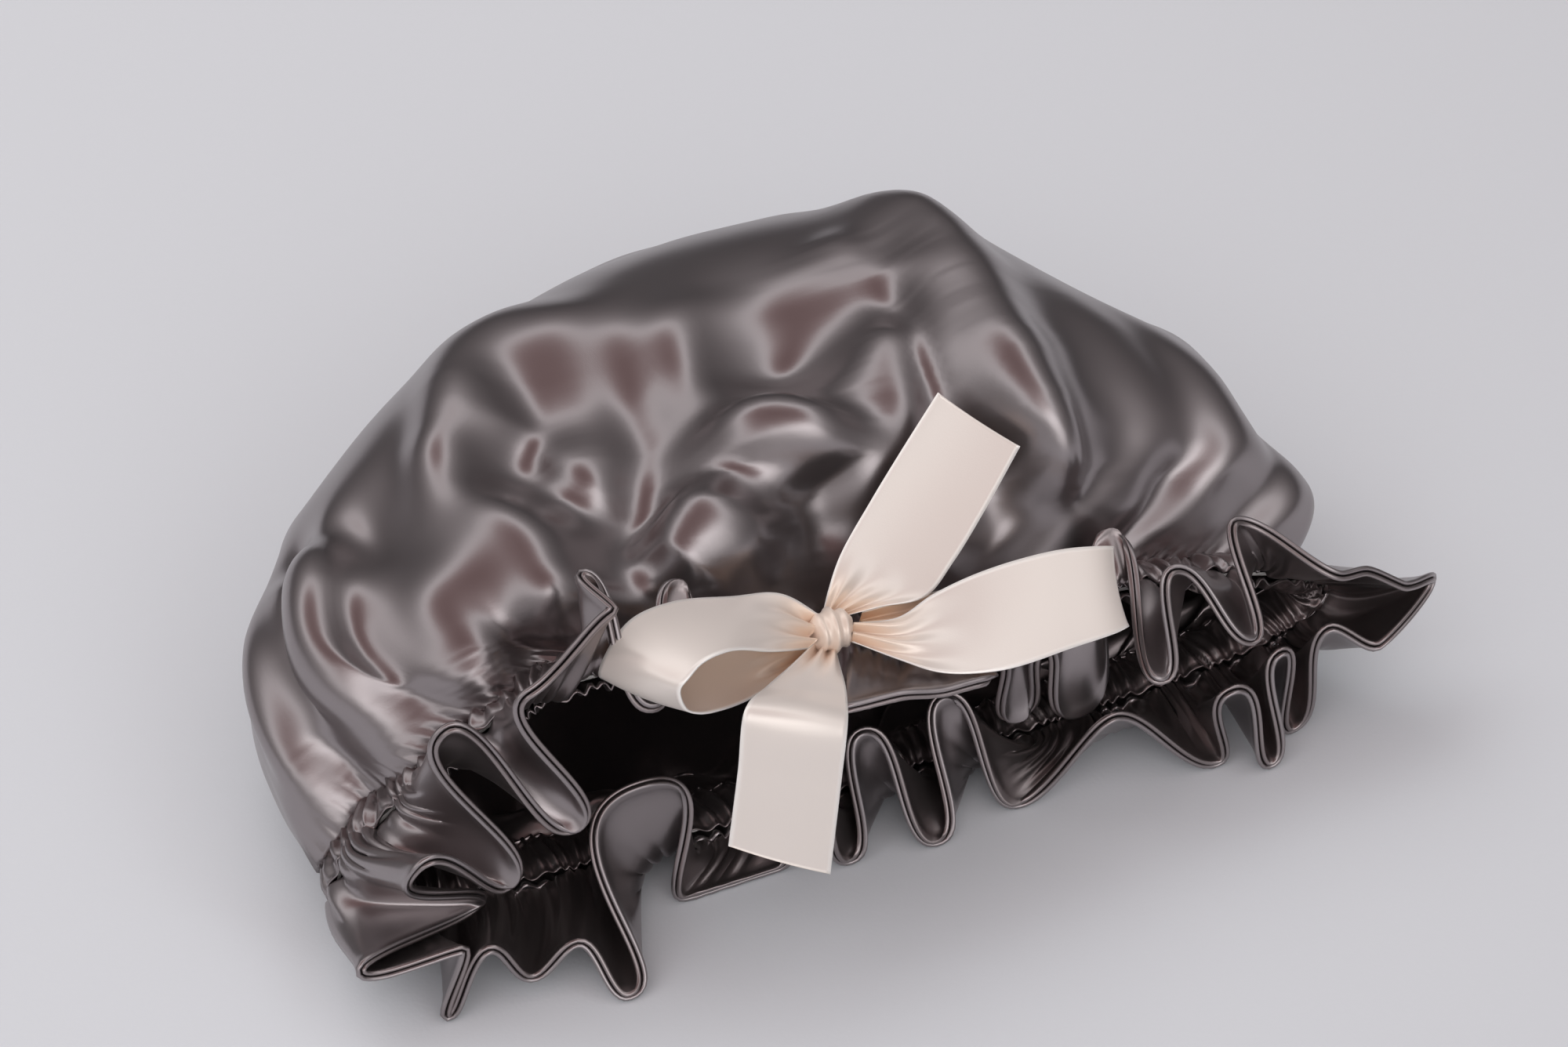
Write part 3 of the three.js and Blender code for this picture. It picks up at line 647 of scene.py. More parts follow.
def mesh_object(name, points, faces, material, uv=None):
    """A smooth mesh from points in millimetres. Where uv wraps round, its first number counts from 0 to 1."""
    mesh = bpy.data.meshes.new(name)
    mesh.from_pydata((np.asarray(points) * MM).tolist(), [], faces.tolist())
    mesh.materials.append(material)
    mesh.polygons.foreach_set("use_smooth", np.ones(len(faces), bool))
    if uv is not None:
        corners = uv[faces]
        wraps = np.ptp(corners[..., 0], axis=1) > 0.5
        corners[..., 0] += (wraps[:, None] & (corners[..., 0] < 0.5))
        layer = mesh.uv_layers.new(name="cloth")
        layer.data.foreach_set("uv", corners.reshape(-1))
    mesh.update()
    obj = bpy.data.objects.new(name, mesh)
    bpy.context.scene.collection.objects.link(obj)
    return obj


def thicken(obj, offset):
    """Gives a surface the cloth's thickness, on the side that the offset says."""
    shell = obj.modifiers.new("cloth", "SOLIDIFY")
    shell.thickness = CLOTH * MM
    shell.offset = offset
    shell.use_even_offset = False
    return obj


# Materials

def new_material(name):
    """A material with its nodes, its links and its shader."""
    material = bpy.data.materials.new(name)
    material.use_nodes = True
    nodes, links = material.node_tree.nodes, material.node_tree.links
    return material, nodes, links, nodes["Principled BSDF"]


def set_inputs(node, values):
    """Sets a node's inputs by their names."""
    for name, value in values.items():
        node.inputs[name].default_value = value


def grain(nodes, links, scale, detail):
    """Noise over the object."""
    where = nodes.new("ShaderNodeTexCoord")
    speckle = nodes.new("ShaderNodeTexNoise")
    set_inputs(speckle, {"Scale": scale, "Detail": detail})
    links.new(where.outputs["Object"], speckle.inputs["Vector"])
    return speckle.outputs["Fac"]


def drifting(nodes, links, colour, shade, scale):
    """A colour that drifts to its shade from place to place."""
    mix = nodes.new("ShaderNodeMix")
    mix.data_type = "RGBA"
    set_inputs(mix, {"A": (*colour, 1), "B": (*shade, 1)})
    links.new(grain(nodes, links, scale, DRIFT_DETAIL), mix.inputs["Factor"])
    return mix.outputs["Result"]


def weave(nodes, links, shader, scale, strength):
    """A weave too fine to see from a step away."""
    bump = nodes.new("ShaderNodeBump")
    set_inputs(bump, {"Strength": strength, "Distance": WEAVE_DEPTH})
    links.new(grain(nodes, links, scale, WEAVE_DETAIL), bump.inputs["Height"])
    links.new(bump.outputs["Normal"], shader.inputs["Normal"])


def satin(name, colour, shade, roughness, gloss):
    """Smooth satin whose colour drifts a little."""
    material, nodes, links, shader = new_material(name)
    links.new(drifting(nodes, links, colour, shade, SATIN_DRIFT), shader.inputs["Base Color"])
    weave(nodes, links, shader, *SATIN_WEAVE)
    set_inputs(shader, {"Roughness": roughness, "Metallic": gloss,
                        "Sheen Weight": SATIN_SHEEN, "Sheen Roughness": SHEEN_ROUGHNESS})
    return material


def laid_over(nodes, links, below, attribute, colour):
    """A colour laid over what is below it, as far as the piece's attribute says."""
    mix = nodes.new("ShaderNodeMix")
    mix.data_type = "RGBA"
    set_inputs(mix, {"B": (*colour, 1)})
    share = nodes.new("ShaderNodeAttribute")
    share.attribute_name = attribute
    links.new(share.outputs["Fac"], mix.inputs["Factor"])
    links.new(below, mix.inputs["A"])
    return mix.outputs["Result"]


def ribbon_satin():
    """Ivory satin with a painted warm glow where it is folded together, standing for light through and
    between its plies, and with pale selvedges.
    """
    material, nodes, links, shader = new_material("ivory_ribbon")
    ivory = drifting(nodes, links, IVORY, IVORY_SHADE, RIBBON_DRIFT)
    with_painted_glow = laid_over(nodes, links, ivory, "painted_glow", PAINTED_WARM_GLOW)
    edged = laid_over(nodes, links, with_painted_glow, "selvedge", PALE_EDGE)
    links.new(edged, shader.inputs["Base Color"])
    weave(nodes, links, shader, *RIBBON_WEAVE)
    set_inputs(shader, {"Roughness": RIBBON_ROUGHNESS, "Metallic": RIBBON_GLOSS,
                        "Sheen Weight": RIBBON_SHEEN})
    return material


def matt(name, colour, shade, roughness):
    """Matt yarn or paint."""
    material, nodes, links, shader = new_material(name)
    links.new(drifting(nodes, links, colour, shade, MATT_DRIFT), shader.inputs["Base Color"])
    weave(nodes, links, shader, *MATT_WEAVE)
    set_inputs(shader, {"Roughness": roughness})
    return material


SATIN = satin("pewter_satin", PEWTER, PEWTER_SHADE, SATIN_ROUGHNESS, SATIN_GLOSS)
# Lining satin in the darker pewter of painted shade
LINING = satin("pewter_lining", SHADED_INSIDE_PEWTER, SHADED_INSIDE_PEWTER_DRIFT, LINING_ROUGHNESS, LINING_GLOSS)
RIBBON = ribbon_satin()
ELASTIC = matt("elastic", ELASTIC_WHITE, ELASTIC_SHADE, ELASTIC_ROUGHNESS)
STITCH = matt("stitch_thread", STITCH_GREY, STITCH_SHADE, STITCH_ROUGHNESS)
TACK = matt("tack_thread", TACK_IVORY, TACK_SHADE, TACK_ROUGHNESS)


# Crown

def crown_grid(columns, rows):
    """Middle surface of the crown without folds: points by share of the way round and way back."""
    share = np.arange(columns) / columns
    corner = CORNER_RUN / LIP_LENGTH
    angle = np.where(share <= corner, np.pi * (1 - share / corner), -np.pi * (share - corner) / (1 - corner))
    c, s = np.cos(angle), np.sin(angle)
    _, forward, _ = lip_axes(share * LIP_LENGTH)
    lines = [lip(share * LIP_LENGTH) - forward * CASING_HALF]
    for depth, left, right, top, peak, widest in CROWN_SECTIONS:
        middle = (left + right) / 2
        across = middle + (right - left) / 2 * signed_power(c, SECTION_ROUNDNESS)
        across = across + np.where(s > 0, (peak - middle) * PEAK_PULL * s * s, 0)
        rise = np.where(
            s > 0, widest + (top - widest) * np.abs(s) ** SECTION_ROUNDNESS,
            widest * (1 - UNDERSIDE_DROP * np.abs(s) ** UNDERSIDE_SPREAD))
        back = np.full(columns, OPENING_FRONT + depth * CROWN_DEPTH)
        lines.append(np.stack([across * CROWN_WIDTH, back, rise * CROWN_HEIGHT], 1))
    across, depth, rise = CROWN_END
    end = [across * CROWN_WIDTH, OPENING_FRONT + depth * CROWN_DEPTH, rise * CROWN_HEIGHT]
    lines.append(np.tile(end, (columns, 1)))
    dense = open_spline(np.array(lines), LOFT_STEPS)
    grid = np.empty((rows + 1, columns, 3))
    for j in range(columns):
        run = run_of(dense[:, j])
        grid[:, j] = at_run(dense[:, j], run, np.linspace(0, run[-1], rows + 1))
    return grid


CROWN_GRID = crown_grid(GRID_COLUMNS, GRID_ROWS)


def crown_spot(grid, share, run):
    """Points of a crown's surface, read between its grid's own points."""
    x = (share % 1) * GRID_COLUMNS
    y = np.clip(run, 0, 1) * GRID_ROWS
    j, i = np.floor(x).astype(int), np.minimum(np.floor(y).astype(int), GRID_ROWS - 1)
    u, v = (x - j)[:, None], (y - i)[:, None]
    j, k = j % GRID_COLUMNS, (j + 1) % GRID_COLUMNS
    return ((grid[i, j] * (1 - u) + grid[i, k] * u) * (1 - v)
            + (grid[i + 1, j] * (1 - u) + grid[i + 1, k] * u) * v)


def cell_at(run, casing_cell, crown_cell):
    """Size of a cell at a share of the way back."""
    return casing_cell + (crown_cell - casing_cell) * min(1, run / CELL_GROWTH)


def crown_rings(casing_cell, crown_cell):
    """Rings from the casing to the closed end: each one's share of the way back and its count of cells."""
    length = np.linalg.norm(np.diff(CROWN_GRID, axis=0), axis=-1).sum(0).mean()
    runs = [0.0]
    while runs[-1] < 1:
        runs.append(runs[-1] + cell_at(runs[-1], casing_cell, crown_cell) / length)
    rings = []
    for run in np.array(runs[:-1]) / runs[-1]:
        ring = CROWN_GRID[min(round(run * GRID_ROWS), GRID_ROWS)]
        around = np.linalg.norm(ring - np.roll(ring, 1, axis=0), axis=-1).sum()
        rings.append((run, max(FEWEST_CELLS, round(around / cell_at(run, casing_cell, crown_cell)))))
    return rings


def between_rings(first, count, following, following_count):
    """Triangles between two rings of points, from each ring's first point and its count."""
    faces = []
    a = b = 0
    while a < count or b < following_count:
        here, there = first + a % count, following + b % following_count
        if b == following_count or (a < count and (a + 1) * following_count <= (b + 1) * count):
            a += 1
            faces.append((here, first + a % count, there))
        else:
            b += 1
            faces.append((here, following + b % following_count, there))
    return faces


def crown_mesh(casing_cell, crown_cell):
    """Points of the crown, as shares of the way round and of the way back, and triangles between them."""
    rings = crown_rings(casing_cell, crown_cell)
    counts = [count for _, count in rings]
    starts = np.concatenate([[0], np.cumsum(counts)]).tolist()
    faces = []
    for i in range(len(rings) - 1):
        faces += between_rings(starts[i], counts[i], starts[i + 1], counts[i + 1])
    last, end = starts[-2:]
    faces += [(last + k, last + (k + 1) % counts[-1], end) for k in range(counts[-1])]
    share = np.concatenate([np.arange(count) / count for count in counts] + [[0]])
    run = np.concatenate([np.full(count, run) for run, count in rings] + [[1]])
    return share, run, np.array(faces)


def crown_at(pixel, points, tree):
    """The crown's point seen at a pixel, or the nearest one to its ray past the outline."""
    way = ray(pixel)
    hit, _, _, _ = tree.ray_cast(Vector(EYE), Vector(way))
    if hit is not None:
        return np.array(hit)
    apart = points - EYE
    return points[np.argmin(np.linalg.norm(np.cross(apart, way), axis=1))]


def beside_line(points, normals, line):
    """Each point's squared distance from a line on the crown, whether it lies on the line's left, looking
    along it, and the share of the line at which it lies."""
    along = unit(np.gradient(line, axis=0))
    apart = points[:, None] - line[None]
    nearest = np.argmin(np.einsum("vkc,vkc->vk", apart, apart), 1)
    offset = points - line[nearest]
    sideways = np.sum(np.cross(normals, along[nearest]) * offset, 1)
    return np.sum(offset**2, 1), sideways > 0, nearest / (len(line) - 1)


def fold_lift(points, normals, tree):
    """How far the drawn folds lift or sink each point, and how near it lies to a fold's line, from 0 to 1."""
    lift = np.zeros(len(points))
    near = np.zeros(len(points))
    for pixels, height, left, right in CROWN_FOLDS:
        line = open_spline([crown_at(pixel, points, tree) for pixel in pixels], FOLD_STEPS)
        squared, on_left, ends = beside_line(points, normals, line)
        distance = np.sqrt(squared)
        taper = ramp(FOLD_BLUNTNESS + ends / FOLD_TAPER) * ramp(FOLD_BLUNTNESS + (1 - ends) / FOLD_TAPER)
        slope = np.sqrt(distance**2 + FOLD_CREST**2) - FOLD_CREST
        lift += FOLD_GAIN * height * taper * (1 + slope / np.where(on_left, left, right)) ** -2
        near = np.maximum(near, np.exp(-(distance / FOLD_HELD) ** 2))
    return lift, near


def crease_lift(points, normals, faces):
    """How far the creases lift each point of the settled crown."""
    tree = BVHTree.FromPolygons([Vector(p) for p in points], faces.tolist())
    lift = np.zeros((len(points), 1))
    for pixels, height, left, right in CROWN_CREASES:
        line = open_spline([crown_at(pixel, points, tree) for pixel in pixels], CREASE_STEPS)
        reach = CREASE_REACH * max(left, right)
        close = np.all((points > line.min(0) - reach) & (points < line.max(0) + reach), 1)
        squared, on_left, ends = beside_line(points[close], normals[close], line)
        taper = ramp(ends / FOLD_TAPER) * ramp((1 - ends) / FOLD_TAPER)
        slope = np.sqrt(squared + CREASE_CREST**2) - CREASE_CREST
        lift[close, 0] += CREASE_GAIN * height * taper * np.exp(-slope / np.where(on_left, left, right))
    return smoothed(lift, faces, CREASE_SMOOTHING)[:, 0]


def broad_waves(share, run, points):
    """Broad gathers that run from the casing into the crown, and the cloth's own unevenness."""
    place = share * LIP_LENGTH
    back = run * CROWN_RUN
    lift = np.zeros(len(points))
    for height, spacing, seed, full, fading, fade in CROWN_WAVES:
        remains = 1 - ramp((back - fading) / fade)
        lift += height * gathers(place, spacing, seed) * ramp(back / full) * remains
    uneven = np.array([noise.noise(Vector(p) * UNEVEN_SCALE) for p in points])
    return lift + UNEVENNESS * uneven * ramp(back / UNEVEN_FULL)


def soft_crests(cells):
    """Noise whose zero lines stand up as soft crests between valleys."""
    return FAR_CREST - np.abs([noise.noise(Vector(cell)) for cell in cells]) * FAR_VALLEY


def far_folds(points, normals):
    """Soft hanging folds on the side that the photograph doesn't show, and where they lie."""
    facing = np.sum(normals * unit(EYE - points), -1)
    place = ramp((FAR_FACING - facing) / FAR_TURN) * ramp((points[:, 2] - FAR_FOOT) / FAR_RISE)
    cells = points / np.array([FAR_WIDTH, FAR_WIDTH, FAR_DROP])
    lift = FAR_FOLD * soft_crests(cells) + FAR_FOLD / FAR_SHALLOWER * soft_crests(cells * FAR_FINER)
    return place * lift, place


def tight_gathers(share, run):
    """Gathers at the casing, too fine for the settled mesh."""
    wave = gathers(share * LIP_LENGTH, GATHER_SPACING, FINE_SEED)
    return (0.5 + 0.5 * wave) * (1 - ramp(run * CROWN_RUN / TIGHT_REACH))


def settle(points, cut, faces, held):
    """Lets cloth with the cut points' own lengths settle from the given points. Held is how firmly each point
    keeps its place. The simulation runs DRAPE_SCALE metres to the millimetre."""
    mesh = bpy.data.meshes.new("settling")
    mesh.from_pydata((points * DRAPE_SCALE).tolist(), [], faces.tolist())
    cloth = bpy.data.objects.new("settling", mesh)
    bpy.context.scene.collection.objects.link(cloth)
    cloth.shape_key_add(name="start")
    lengths = cloth.shape_key_add(name="cut")
    lengths.data.foreach_set("co", (cut * DRAPE_SCALE).reshape(-1))
    pin = cloth.vertex_groups.new(name="held")
    for weight in np.unique(held):
        pin.add(np.flatnonzero(held == weight).tolist(), float(weight), "REPLACE")
    modifier = cloth.modifiers.new("settle", "CLOTH")
    settings = modifier.settings
    for name, value in DRAPE_CLOTH.items():
        setattr(settings, name, value)
    settings.vertex_group_mass = pin.name
    settings.rest_shape_key = lengths
    settings.effector_weights.gravity = DRAPE_GRAVITY
    modifier.collision_settings.use_collision = False
    scene = bpy.context.scene
    for step in range(1, DRAPE_STEPS + 1):
        scene.frame_set(step)
    done = cloth.evaluated_get(bpy.context.evaluated_depsgraph_get()).data
    settled = np.empty(len(points) * 3)
    done.vertices.foreach_get("co", settled)
    scene.frame_set(1)
    bpy.data.objects.remove(cloth)
    return settled.reshape(-1, 3) / DRAPE_SCALE


def cubic(values, x, closed):
    """Smooth reading of rows of values at fractional row numbers."""
    i = np.floor(x).astype(int)
    u = (x - i)[:, None] if values.ndim == 2 else (x - i)[:, None, None]
    count = len(values)
    places = [(i + k) % count if closed else np.clip(i + k, 0, count - 1) for k in (-1, 0, 1, 2)]
    before, a, b, after = (values[place] for place in places)
    return hermite(a, b, (b - before) / 2, (after - a) / 2, u)


def fine_grid(points, share, run):
    """A grid as fine as the unfolded crown's, read smoothly from a mesh of rings."""
    levels = np.unique(run)
    rings = []
    for level in levels:
        ring = points[run == level]
        rings.append(cubic(ring, np.arange(GRID_COLUMNS) / GRID_COLUMNS * len(ring), True))
    where = np.interp(np.arange(GRID_ROWS + 1) / GRID_ROWS, levels, np.arange(len(levels)))
    grid = cubic(np.array(rings), where, False)
    for _ in range(GRID_EVENING):
        grid[1:-1] = (grid[:-2] + 2 * grid[1:-1] + grid[2:]) / 4
    return grid


def outward(points, faces):
    """The faces turned so that they point out of the crown, and the points' normals."""
    normals = vertex_normals(points, faces)
    if np.mean(np.sum(normals * (points - points.mean(0)), 1)) < 0:
        return faces[:, ::-1], -normals
    return faces, normals


def smoothed(values, faces, times):
    """Each point's values averaged with those of its neighbours, a number of times."""
    for _ in range(times):
        total = values.copy()
        count = np.ones(len(values))
        for a, b in ((0, 1), (1, 2), (2, 0)):
            np.add.at(total, faces[:, a], values[faces[:, b]])
            np.add.at(count, faces[:, a], 1)
        values = total / count[:, None]
    return values


def folded_crown():
    """Grid of the crown's middle surface with its folds, after the cloth has settled."""
    share, run, faces = crown_mesh(DRAPE_CELL, DRAPE_CELL)
    points = crown_spot(CROWN_GRID, share, run)
    faces, normals = outward(points, faces)
    tree = BVHTree.FromPolygons([Vector(p) for p in points], faces.tolist())
    lift, near = fold_lift(points, normals, tree)
    lift += broad_waves(share, run, points)
    hidden_lift, hidden = far_folds(points, normals)
    lift += hidden_lift
    near = np.maximum(near, FAR_HELD * hidden)
    folded = points + normals * lift[:, None]
    held = np.round(DRAPE_HOLD + (DRAPE_FOLD_HOLD - DRAPE_HOLD) * near, 2)
    held[run * CROWN_RUN < DRAPE_CELL] = 1.0
    cut = points + normals * (DRAPE_SLACK * lift)[:, None]
    folded = settle(folded, cut, faces, held)
    return fine_grid(points + smoothed(folded - points, faces, DRAPE_SMOOTHING), share, run)


def mouth_folds(share, run):
    """Folds of the lining behind the lower lip, which show through the mouth."""
    place = share * LIP_LENGTH
    back = run * CROWN_RUN
    lower = ramp((place - LOWER_LIP_FROM) / LOWER_LIP_EASE) * ramp((LOWER_LIP_TO - place) / LOWER_LIP_EASE)
    reach = ramp((back - LINING_FROM) / LINING_RISE) * (1 - ramp((back - LINING_FADE_FROM) / LINING_FADE))
    wave = gathers(place + LINING_LEAN * back, LINING_SPACING, LINING_SEED)
    return LINING_FOLD * (0.5 + 0.5 * wave) * lower * reach


def make_crown_ply(name, grid, side, cell, material):
    """The crown's outer cloth (side 1) or its lining (side -1)."""
    share, run, faces = crown_mesh(CASING_CELL, cell)
    points = crown_spot(grid, share, run)
    faces, normals = outward(points, faces)
    lift = side * PLY_OFFSET + tight_gathers(share, run)
    if side < 0:
        lift -= mouth_folds(share, run)
    steady = unit(smoothed(normals, faces, CREASE_STEADYING))
    creases = crease_lift(points, normals, faces)
    points = points + normals * lift[:, None] + steady * creases[:, None]
    rim = np.flatnonzero(run == 0)
    points[rim] = casing_point(share[rim] * LIP_LENGTH, np.full(len(rim), -CASING_HALF), side)
    floor = TABLE_GAP if side > 0 else TABLE_GAP + LINING_LIFT
    lying = LYING_LEAST + (1 - LYING_LEAST) * np.tanh(points[:, 2] / LYING_EASE)
    points[:, 2] = np.maximum(points[:, 2], floor * lying)
    return thicken(mesh_object(name, points, faces, material, np.stack([share, run], 1)), -side)


def make_crown():
    """Both plies of the crown."""
    grid = folded_crown()
    return (make_crown_ply("crown_outer_cloth", grid, 1, CROWN_CELL, SATIN),
            make_crown_ply("crown_lining_cloth", grid, -1, LINING_CELL, LINING))


# Casing

def make_casing(name, side, material):
    """The casing's outer cloth (side 1) or its lining (side -1)."""
    columns = round(LIP_LENGTH / CASING_STEP)
    ahead = np.linspace(-CASING_HALF, CASING_HALF, CASING_ROWS)
    share = np.arange(columns) / columns
    points = np.concatenate([casing_point(share * LIP_LENGTH, np.full(columns, a), side) for a in ahead])
    faces = grid_faces(CASING_ROWS, columns, True)
    if side > 0:
        faces = faces[:, ::-1]
    uv = np.stack([np.tile(share, CASING_ROWS), np.repeat(ahead / CASING_PATTERN + 0.5, columns)], 1)
    return thicken(mesh_object(name, points, faces, material, uv), -1)


def stitch_group():
    """Nodes that lay stitches along the lines of a mesh, and the names of their inputs."""
    tree = bpy.data.node_groups.new("stitch_rows", "GeometryNodeTree")
    tree.interface.new_socket("Lines", in_out="INPUT", socket_type="NodeSocketGeometry")
    inputs = [tree.interface.new_socket(name, in_out="INPUT", socket_type="NodeSocketFloat").identifier
              for name in ("Step", "Stitch length", "Thread width")]
    tree.interface.new_socket("Stitches", in_out="OUTPUT", socket_type="NodeSocketGeometry")
    nodes, links = tree.nodes, tree.links
    given = nodes.new("NodeGroupInput")
    lines = nodes.new("GeometryNodeMeshToCurve")
    spots = nodes.new("GeometryNodeCurveToPoints")
    spots.mode = "LENGTH"
    stitch = nodes.new("GeometryNodeMeshUVSphere")
    set_inputs(stitch, {"Segments": STITCH_SIDES, "Rings": STITCH_RINGS, "Radius": 0.5})
    size = nodes.new("ShaderNodeCombineXYZ")
    laid = nodes.new("GeometryNodeInstanceOnPoints")
    real = nodes.new("GeometryNodeRealizeInstances")
    thread = nodes.new("GeometryNodeSetMaterial")
    set_inputs(thread, {"Material": STITCH})
    done = nodes.new("NodeGroupOutput")
    for giver, output, taker, slot in (
            (given, "Lines", lines, "Mesh"), (lines, "Curve", spots, "Curve"),
            (given, "Step", spots, "Length"),
            (spots, "Points", laid, "Points"), (spots, "Rotation", laid, "Rotation"),
            (stitch, "Mesh", laid, "Instance"), (given, "Thread width", size, "X"),
            (given, "Thread width", size, "Y"), (given, "Stitch length", size, "Z"),
            (size, "Vector", laid, "Scale"), (laid, "Instances", real, "Geometry"),
            (real, "Geometry", thread, "Geometry"), (thread, "Geometry", done, "Stitches")):
        links.new(giver.outputs[output], taker.inputs[slot])
    return tree, inputs


def make_stitches():
    """The two stitch rows that close the casing."""
    columns = round(LIP_LENGTH / STITCH_LINE_STEP)
    place = np.arange(columns) / columns * LIP_LENGTH
    rows = [casing_point(place, np.full(columns, ahead), 1) for ahead in (-STITCH_ROW, STITCH_ROW)]
    _, _, out = lip_axes(place)
    points = np.concatenate([row + out * CLOTH / 4 for row in rows])
    ring = np.arange(columns)
    edges = np.stack([ring, (ring + 1) % columns], 1)
    edges = np.concatenate([edges, edges + columns])
    mesh = bpy.data.meshes.new("stitch_lines")
    mesh.from_pydata((points * MM).tolist(), edges.tolist(), [])
    stitches = bpy.data.objects.new("casing_stitches", mesh)
    bpy.context.scene.collection.objects.link(stitches)
    tree, inputs = stitch_group()
    rows = stitches.modifiers.new("stitches", "NODES")
    rows.node_group = tree
    for name, value in zip(inputs, (STITCH_STEP, STITCH_LENGTH, THREAD_WIDTH)):
        rows[name] = value * MM
    laid = stitches.evaluated_get(bpy.context.evaluated_depsgraph_get())
    stitches.data = bpy.data.meshes.new_from_object(laid)
    stitches.modifiers.clear()
    stitches.data.polygons.foreach_set("use_smooth", np.ones(len(stitches.data.polygons), bool))
    return stitches


def make_elastic():
    """The flat elastic in the casing."""
    place = np.arange(ELASTIC_COLUMNS) / ELASTIC_COLUMNS * LIP_LENGTH
    _, forward, out = lip_axes(place)
    corners = ((1, 1), (-1, 1), (-1, -1), (1, -1), (1, 1))
    rows = [lip(place) + forward * ahead * ELASTIC_HALF_WIDTH + out * height * ELASTIC_HALF_THICK
            for ahead, height in corners]
    faces = grid_faces(len(rows), ELASTIC_COLUMNS, True)[:, ::-1]
    return mesh_object("elastic_band_strip", np.concatenate(rows), faces, ELASTIC)


# Ruffle

def rim_points():
    """Turning points of the rim in space: on the pixel's ray, a ruffle's depth from the casing."""
    spots = []
    for place, x, y, _, carried in RIM_TURNS:
        _, forward, _ = lip_axes(np.float64(place))
        base = lip(place) + forward * CASING_HALF
        way = ray((x, y))
        if carried == TABLE:
            spots.append(EYE + way * (RIM_ON_TABLE - EYE[2]) / way[2])
            continue
        near = EYE + way * ((base - EYE) @ way)
        short = math.sqrt(max(0, RUFFLE_DEPTH**2 - np.sum((near - base) ** 2)))
        spots.append(near + way * short * carried)
    return np.array(spots)


def rim_line():
    """The rim's closed line through its turns: points, places along the lip, and a swing between 1 and -1."""
    turns = rim_points()
    places = np.array([turn[0] for turn in RIM_TURNS], float)
    roundness = np.array([turn[3] for turn in RIM_TURNS])
    along, _, _ = lip_axes(places)
    t = np.arange(RIM_STEPS) / RIM_STEPS
    rim, base, swing = [], [], []
    for i in range(len(turns)):
        n = (i + 1) % len(turns)
        wall = np.linalg.norm(turns[n] - turns[i])
        leave, arrive = along[i] * wall * roundness[i], along[n] * wall * roundness[n]
        rim.append(hermite(turns[i], turns[n], leave, arrive, t[:, None]))
        base.append(places[i] + (places[n] - places[i]) % LIP_LENGTH * t)
        swing.append(np.cos(np.pi * t) * (1 if i % 2 == 0 else -1))
    return (np.concatenate(rim + [rim[0][:1]]), np.concatenate(base + [[places[0] + LIP_LENGTH]]),
            np.concatenate(swing + [[1.0]]))


def ruffle_middle():
    """Middle surface of the ruffle at even steps along the rim: its start at the casing, its edge at the rim,
    and the directions in which it leaves the one and arrives at the other."""
    rim, base, swing = rim_line()
    run = run_of(rim)
    steps = round(run[-1] / RUFFLE_STEP)
    marks = np.arange(steps) / steps * run[-1]
    edge = at_run(rim, run, marks)
    place = np.interp(marks, run, base)
    wave = np.interp(marks, run, swing)
    _, forward, out = lip_axes(place)
    start = casing_point(place, np.full(steps, CASING_HALF), 1) - out * PLY_OFFSET
    start = start + out * (FLUTE_BASE * wave)[:, None]
    chord = edge - start
    return start, edge, forward * np.linalg.norm(chord, axis=1, keepdims=True), chord


def ruffle_profile(depth):
    """Section of one ply, out to the rim, round its bead and back: shares of the depth, and offsets."""
    bead = 1 - BEAD_RADIUS / depth
    shares = np.linspace(0, 1, RUFFLE_ROWS) ** ROW_CROWDING * bead
    swell = BEAD_CENTRE + BEAD_RADIUS - PLY_FAR
    outside = [(s, PLY_FAR + swell * ramp((s * depth - depth + BEAD_FROM) / BEAD_OVER)) for s in shares]
    roll = [(bead + BEAD_RADIUS / depth * math.cos(a), BEAD_CENTRE + BEAD_RADIUS * math.sin(a))
            for a in np.linspace(math.pi / 2, -math.pi / 2, BEAD_STEPS)[1:-1]]
    return outside + roll + [(s, PLY_NEAR) for s in shares[::-1]]


def make_ruffle():
    """Both plies of the ruffle."""
    start, edge, leave, chord = ruffle_middle()

    def spot(share):
        return hermite(start, edge, leave, chord, share)

    def face_normal(share):
        ahead = spot(share + NORMAL_STEP) - spot(share - NORMAL_STEP)
        around = np.roll(spot(share), -1, axis=0) - np.roll(spot(share), 1, axis=0)
        return unit(np.cross(ahead, around))

    profile = ruffle_profile(np.linalg.norm(chord, axis=1).mean())
    columns = len(start)
    pieces = []
    for name, side, material in (("ruffle_outer_cloth", 1, SATIN), ("ruffle_lining_cloth", -1, LINING)):
        points = np.concatenate([spot(s) + face_normal(s) * side * offset for s, offset in profile])
        points[:, 2] = np.maximum(points[:, 2], RUFFLE_GAP + RUFFLE_EASE * np.tanh(points[:, 2]))
        faces = grid_faces(len(profile), columns, True)
        if side > 0:
            faces = faces[:, ::-1]
        uv = np.stack([np.tile(np.arange(columns) / columns, len(profile)),
                       np.repeat([s for s, _ in profile], columns)], 1)
        pieces.append(mesh_object(name, points, faces, material, uv))
    return pieces


# Bow

JOINTS = {joint["name"]: joint for joint in frame["joints"]}
KNOT = np.array(JOINTS["left_loop_lift"]["pos_m"]) / MM
BOW_UP = unit(np.array(JOINTS["left_loop_lift"]["axis"]))
BOW_RIGHT = unit(np.array(JOINTS["upper_tail_lift"]["axis"]))
BOW_FRONT = np.cross(BOW_RIGHT, BOW_UP)


def over_bow(pixel, lift):
    """The spot seen at a pixel, at a height over the bow's plane."""
    return on_plane(pixel, KNOT + BOW_FRONT * lift, BOW_FRONT)


def set_attribute(obj, name, values):
    """Gives each point of a piece a number that its material reads."""
    obj.data.attributes.new(name, "FLOAT", "POINT").data.foreach_set("value", values.astype(np.float32))


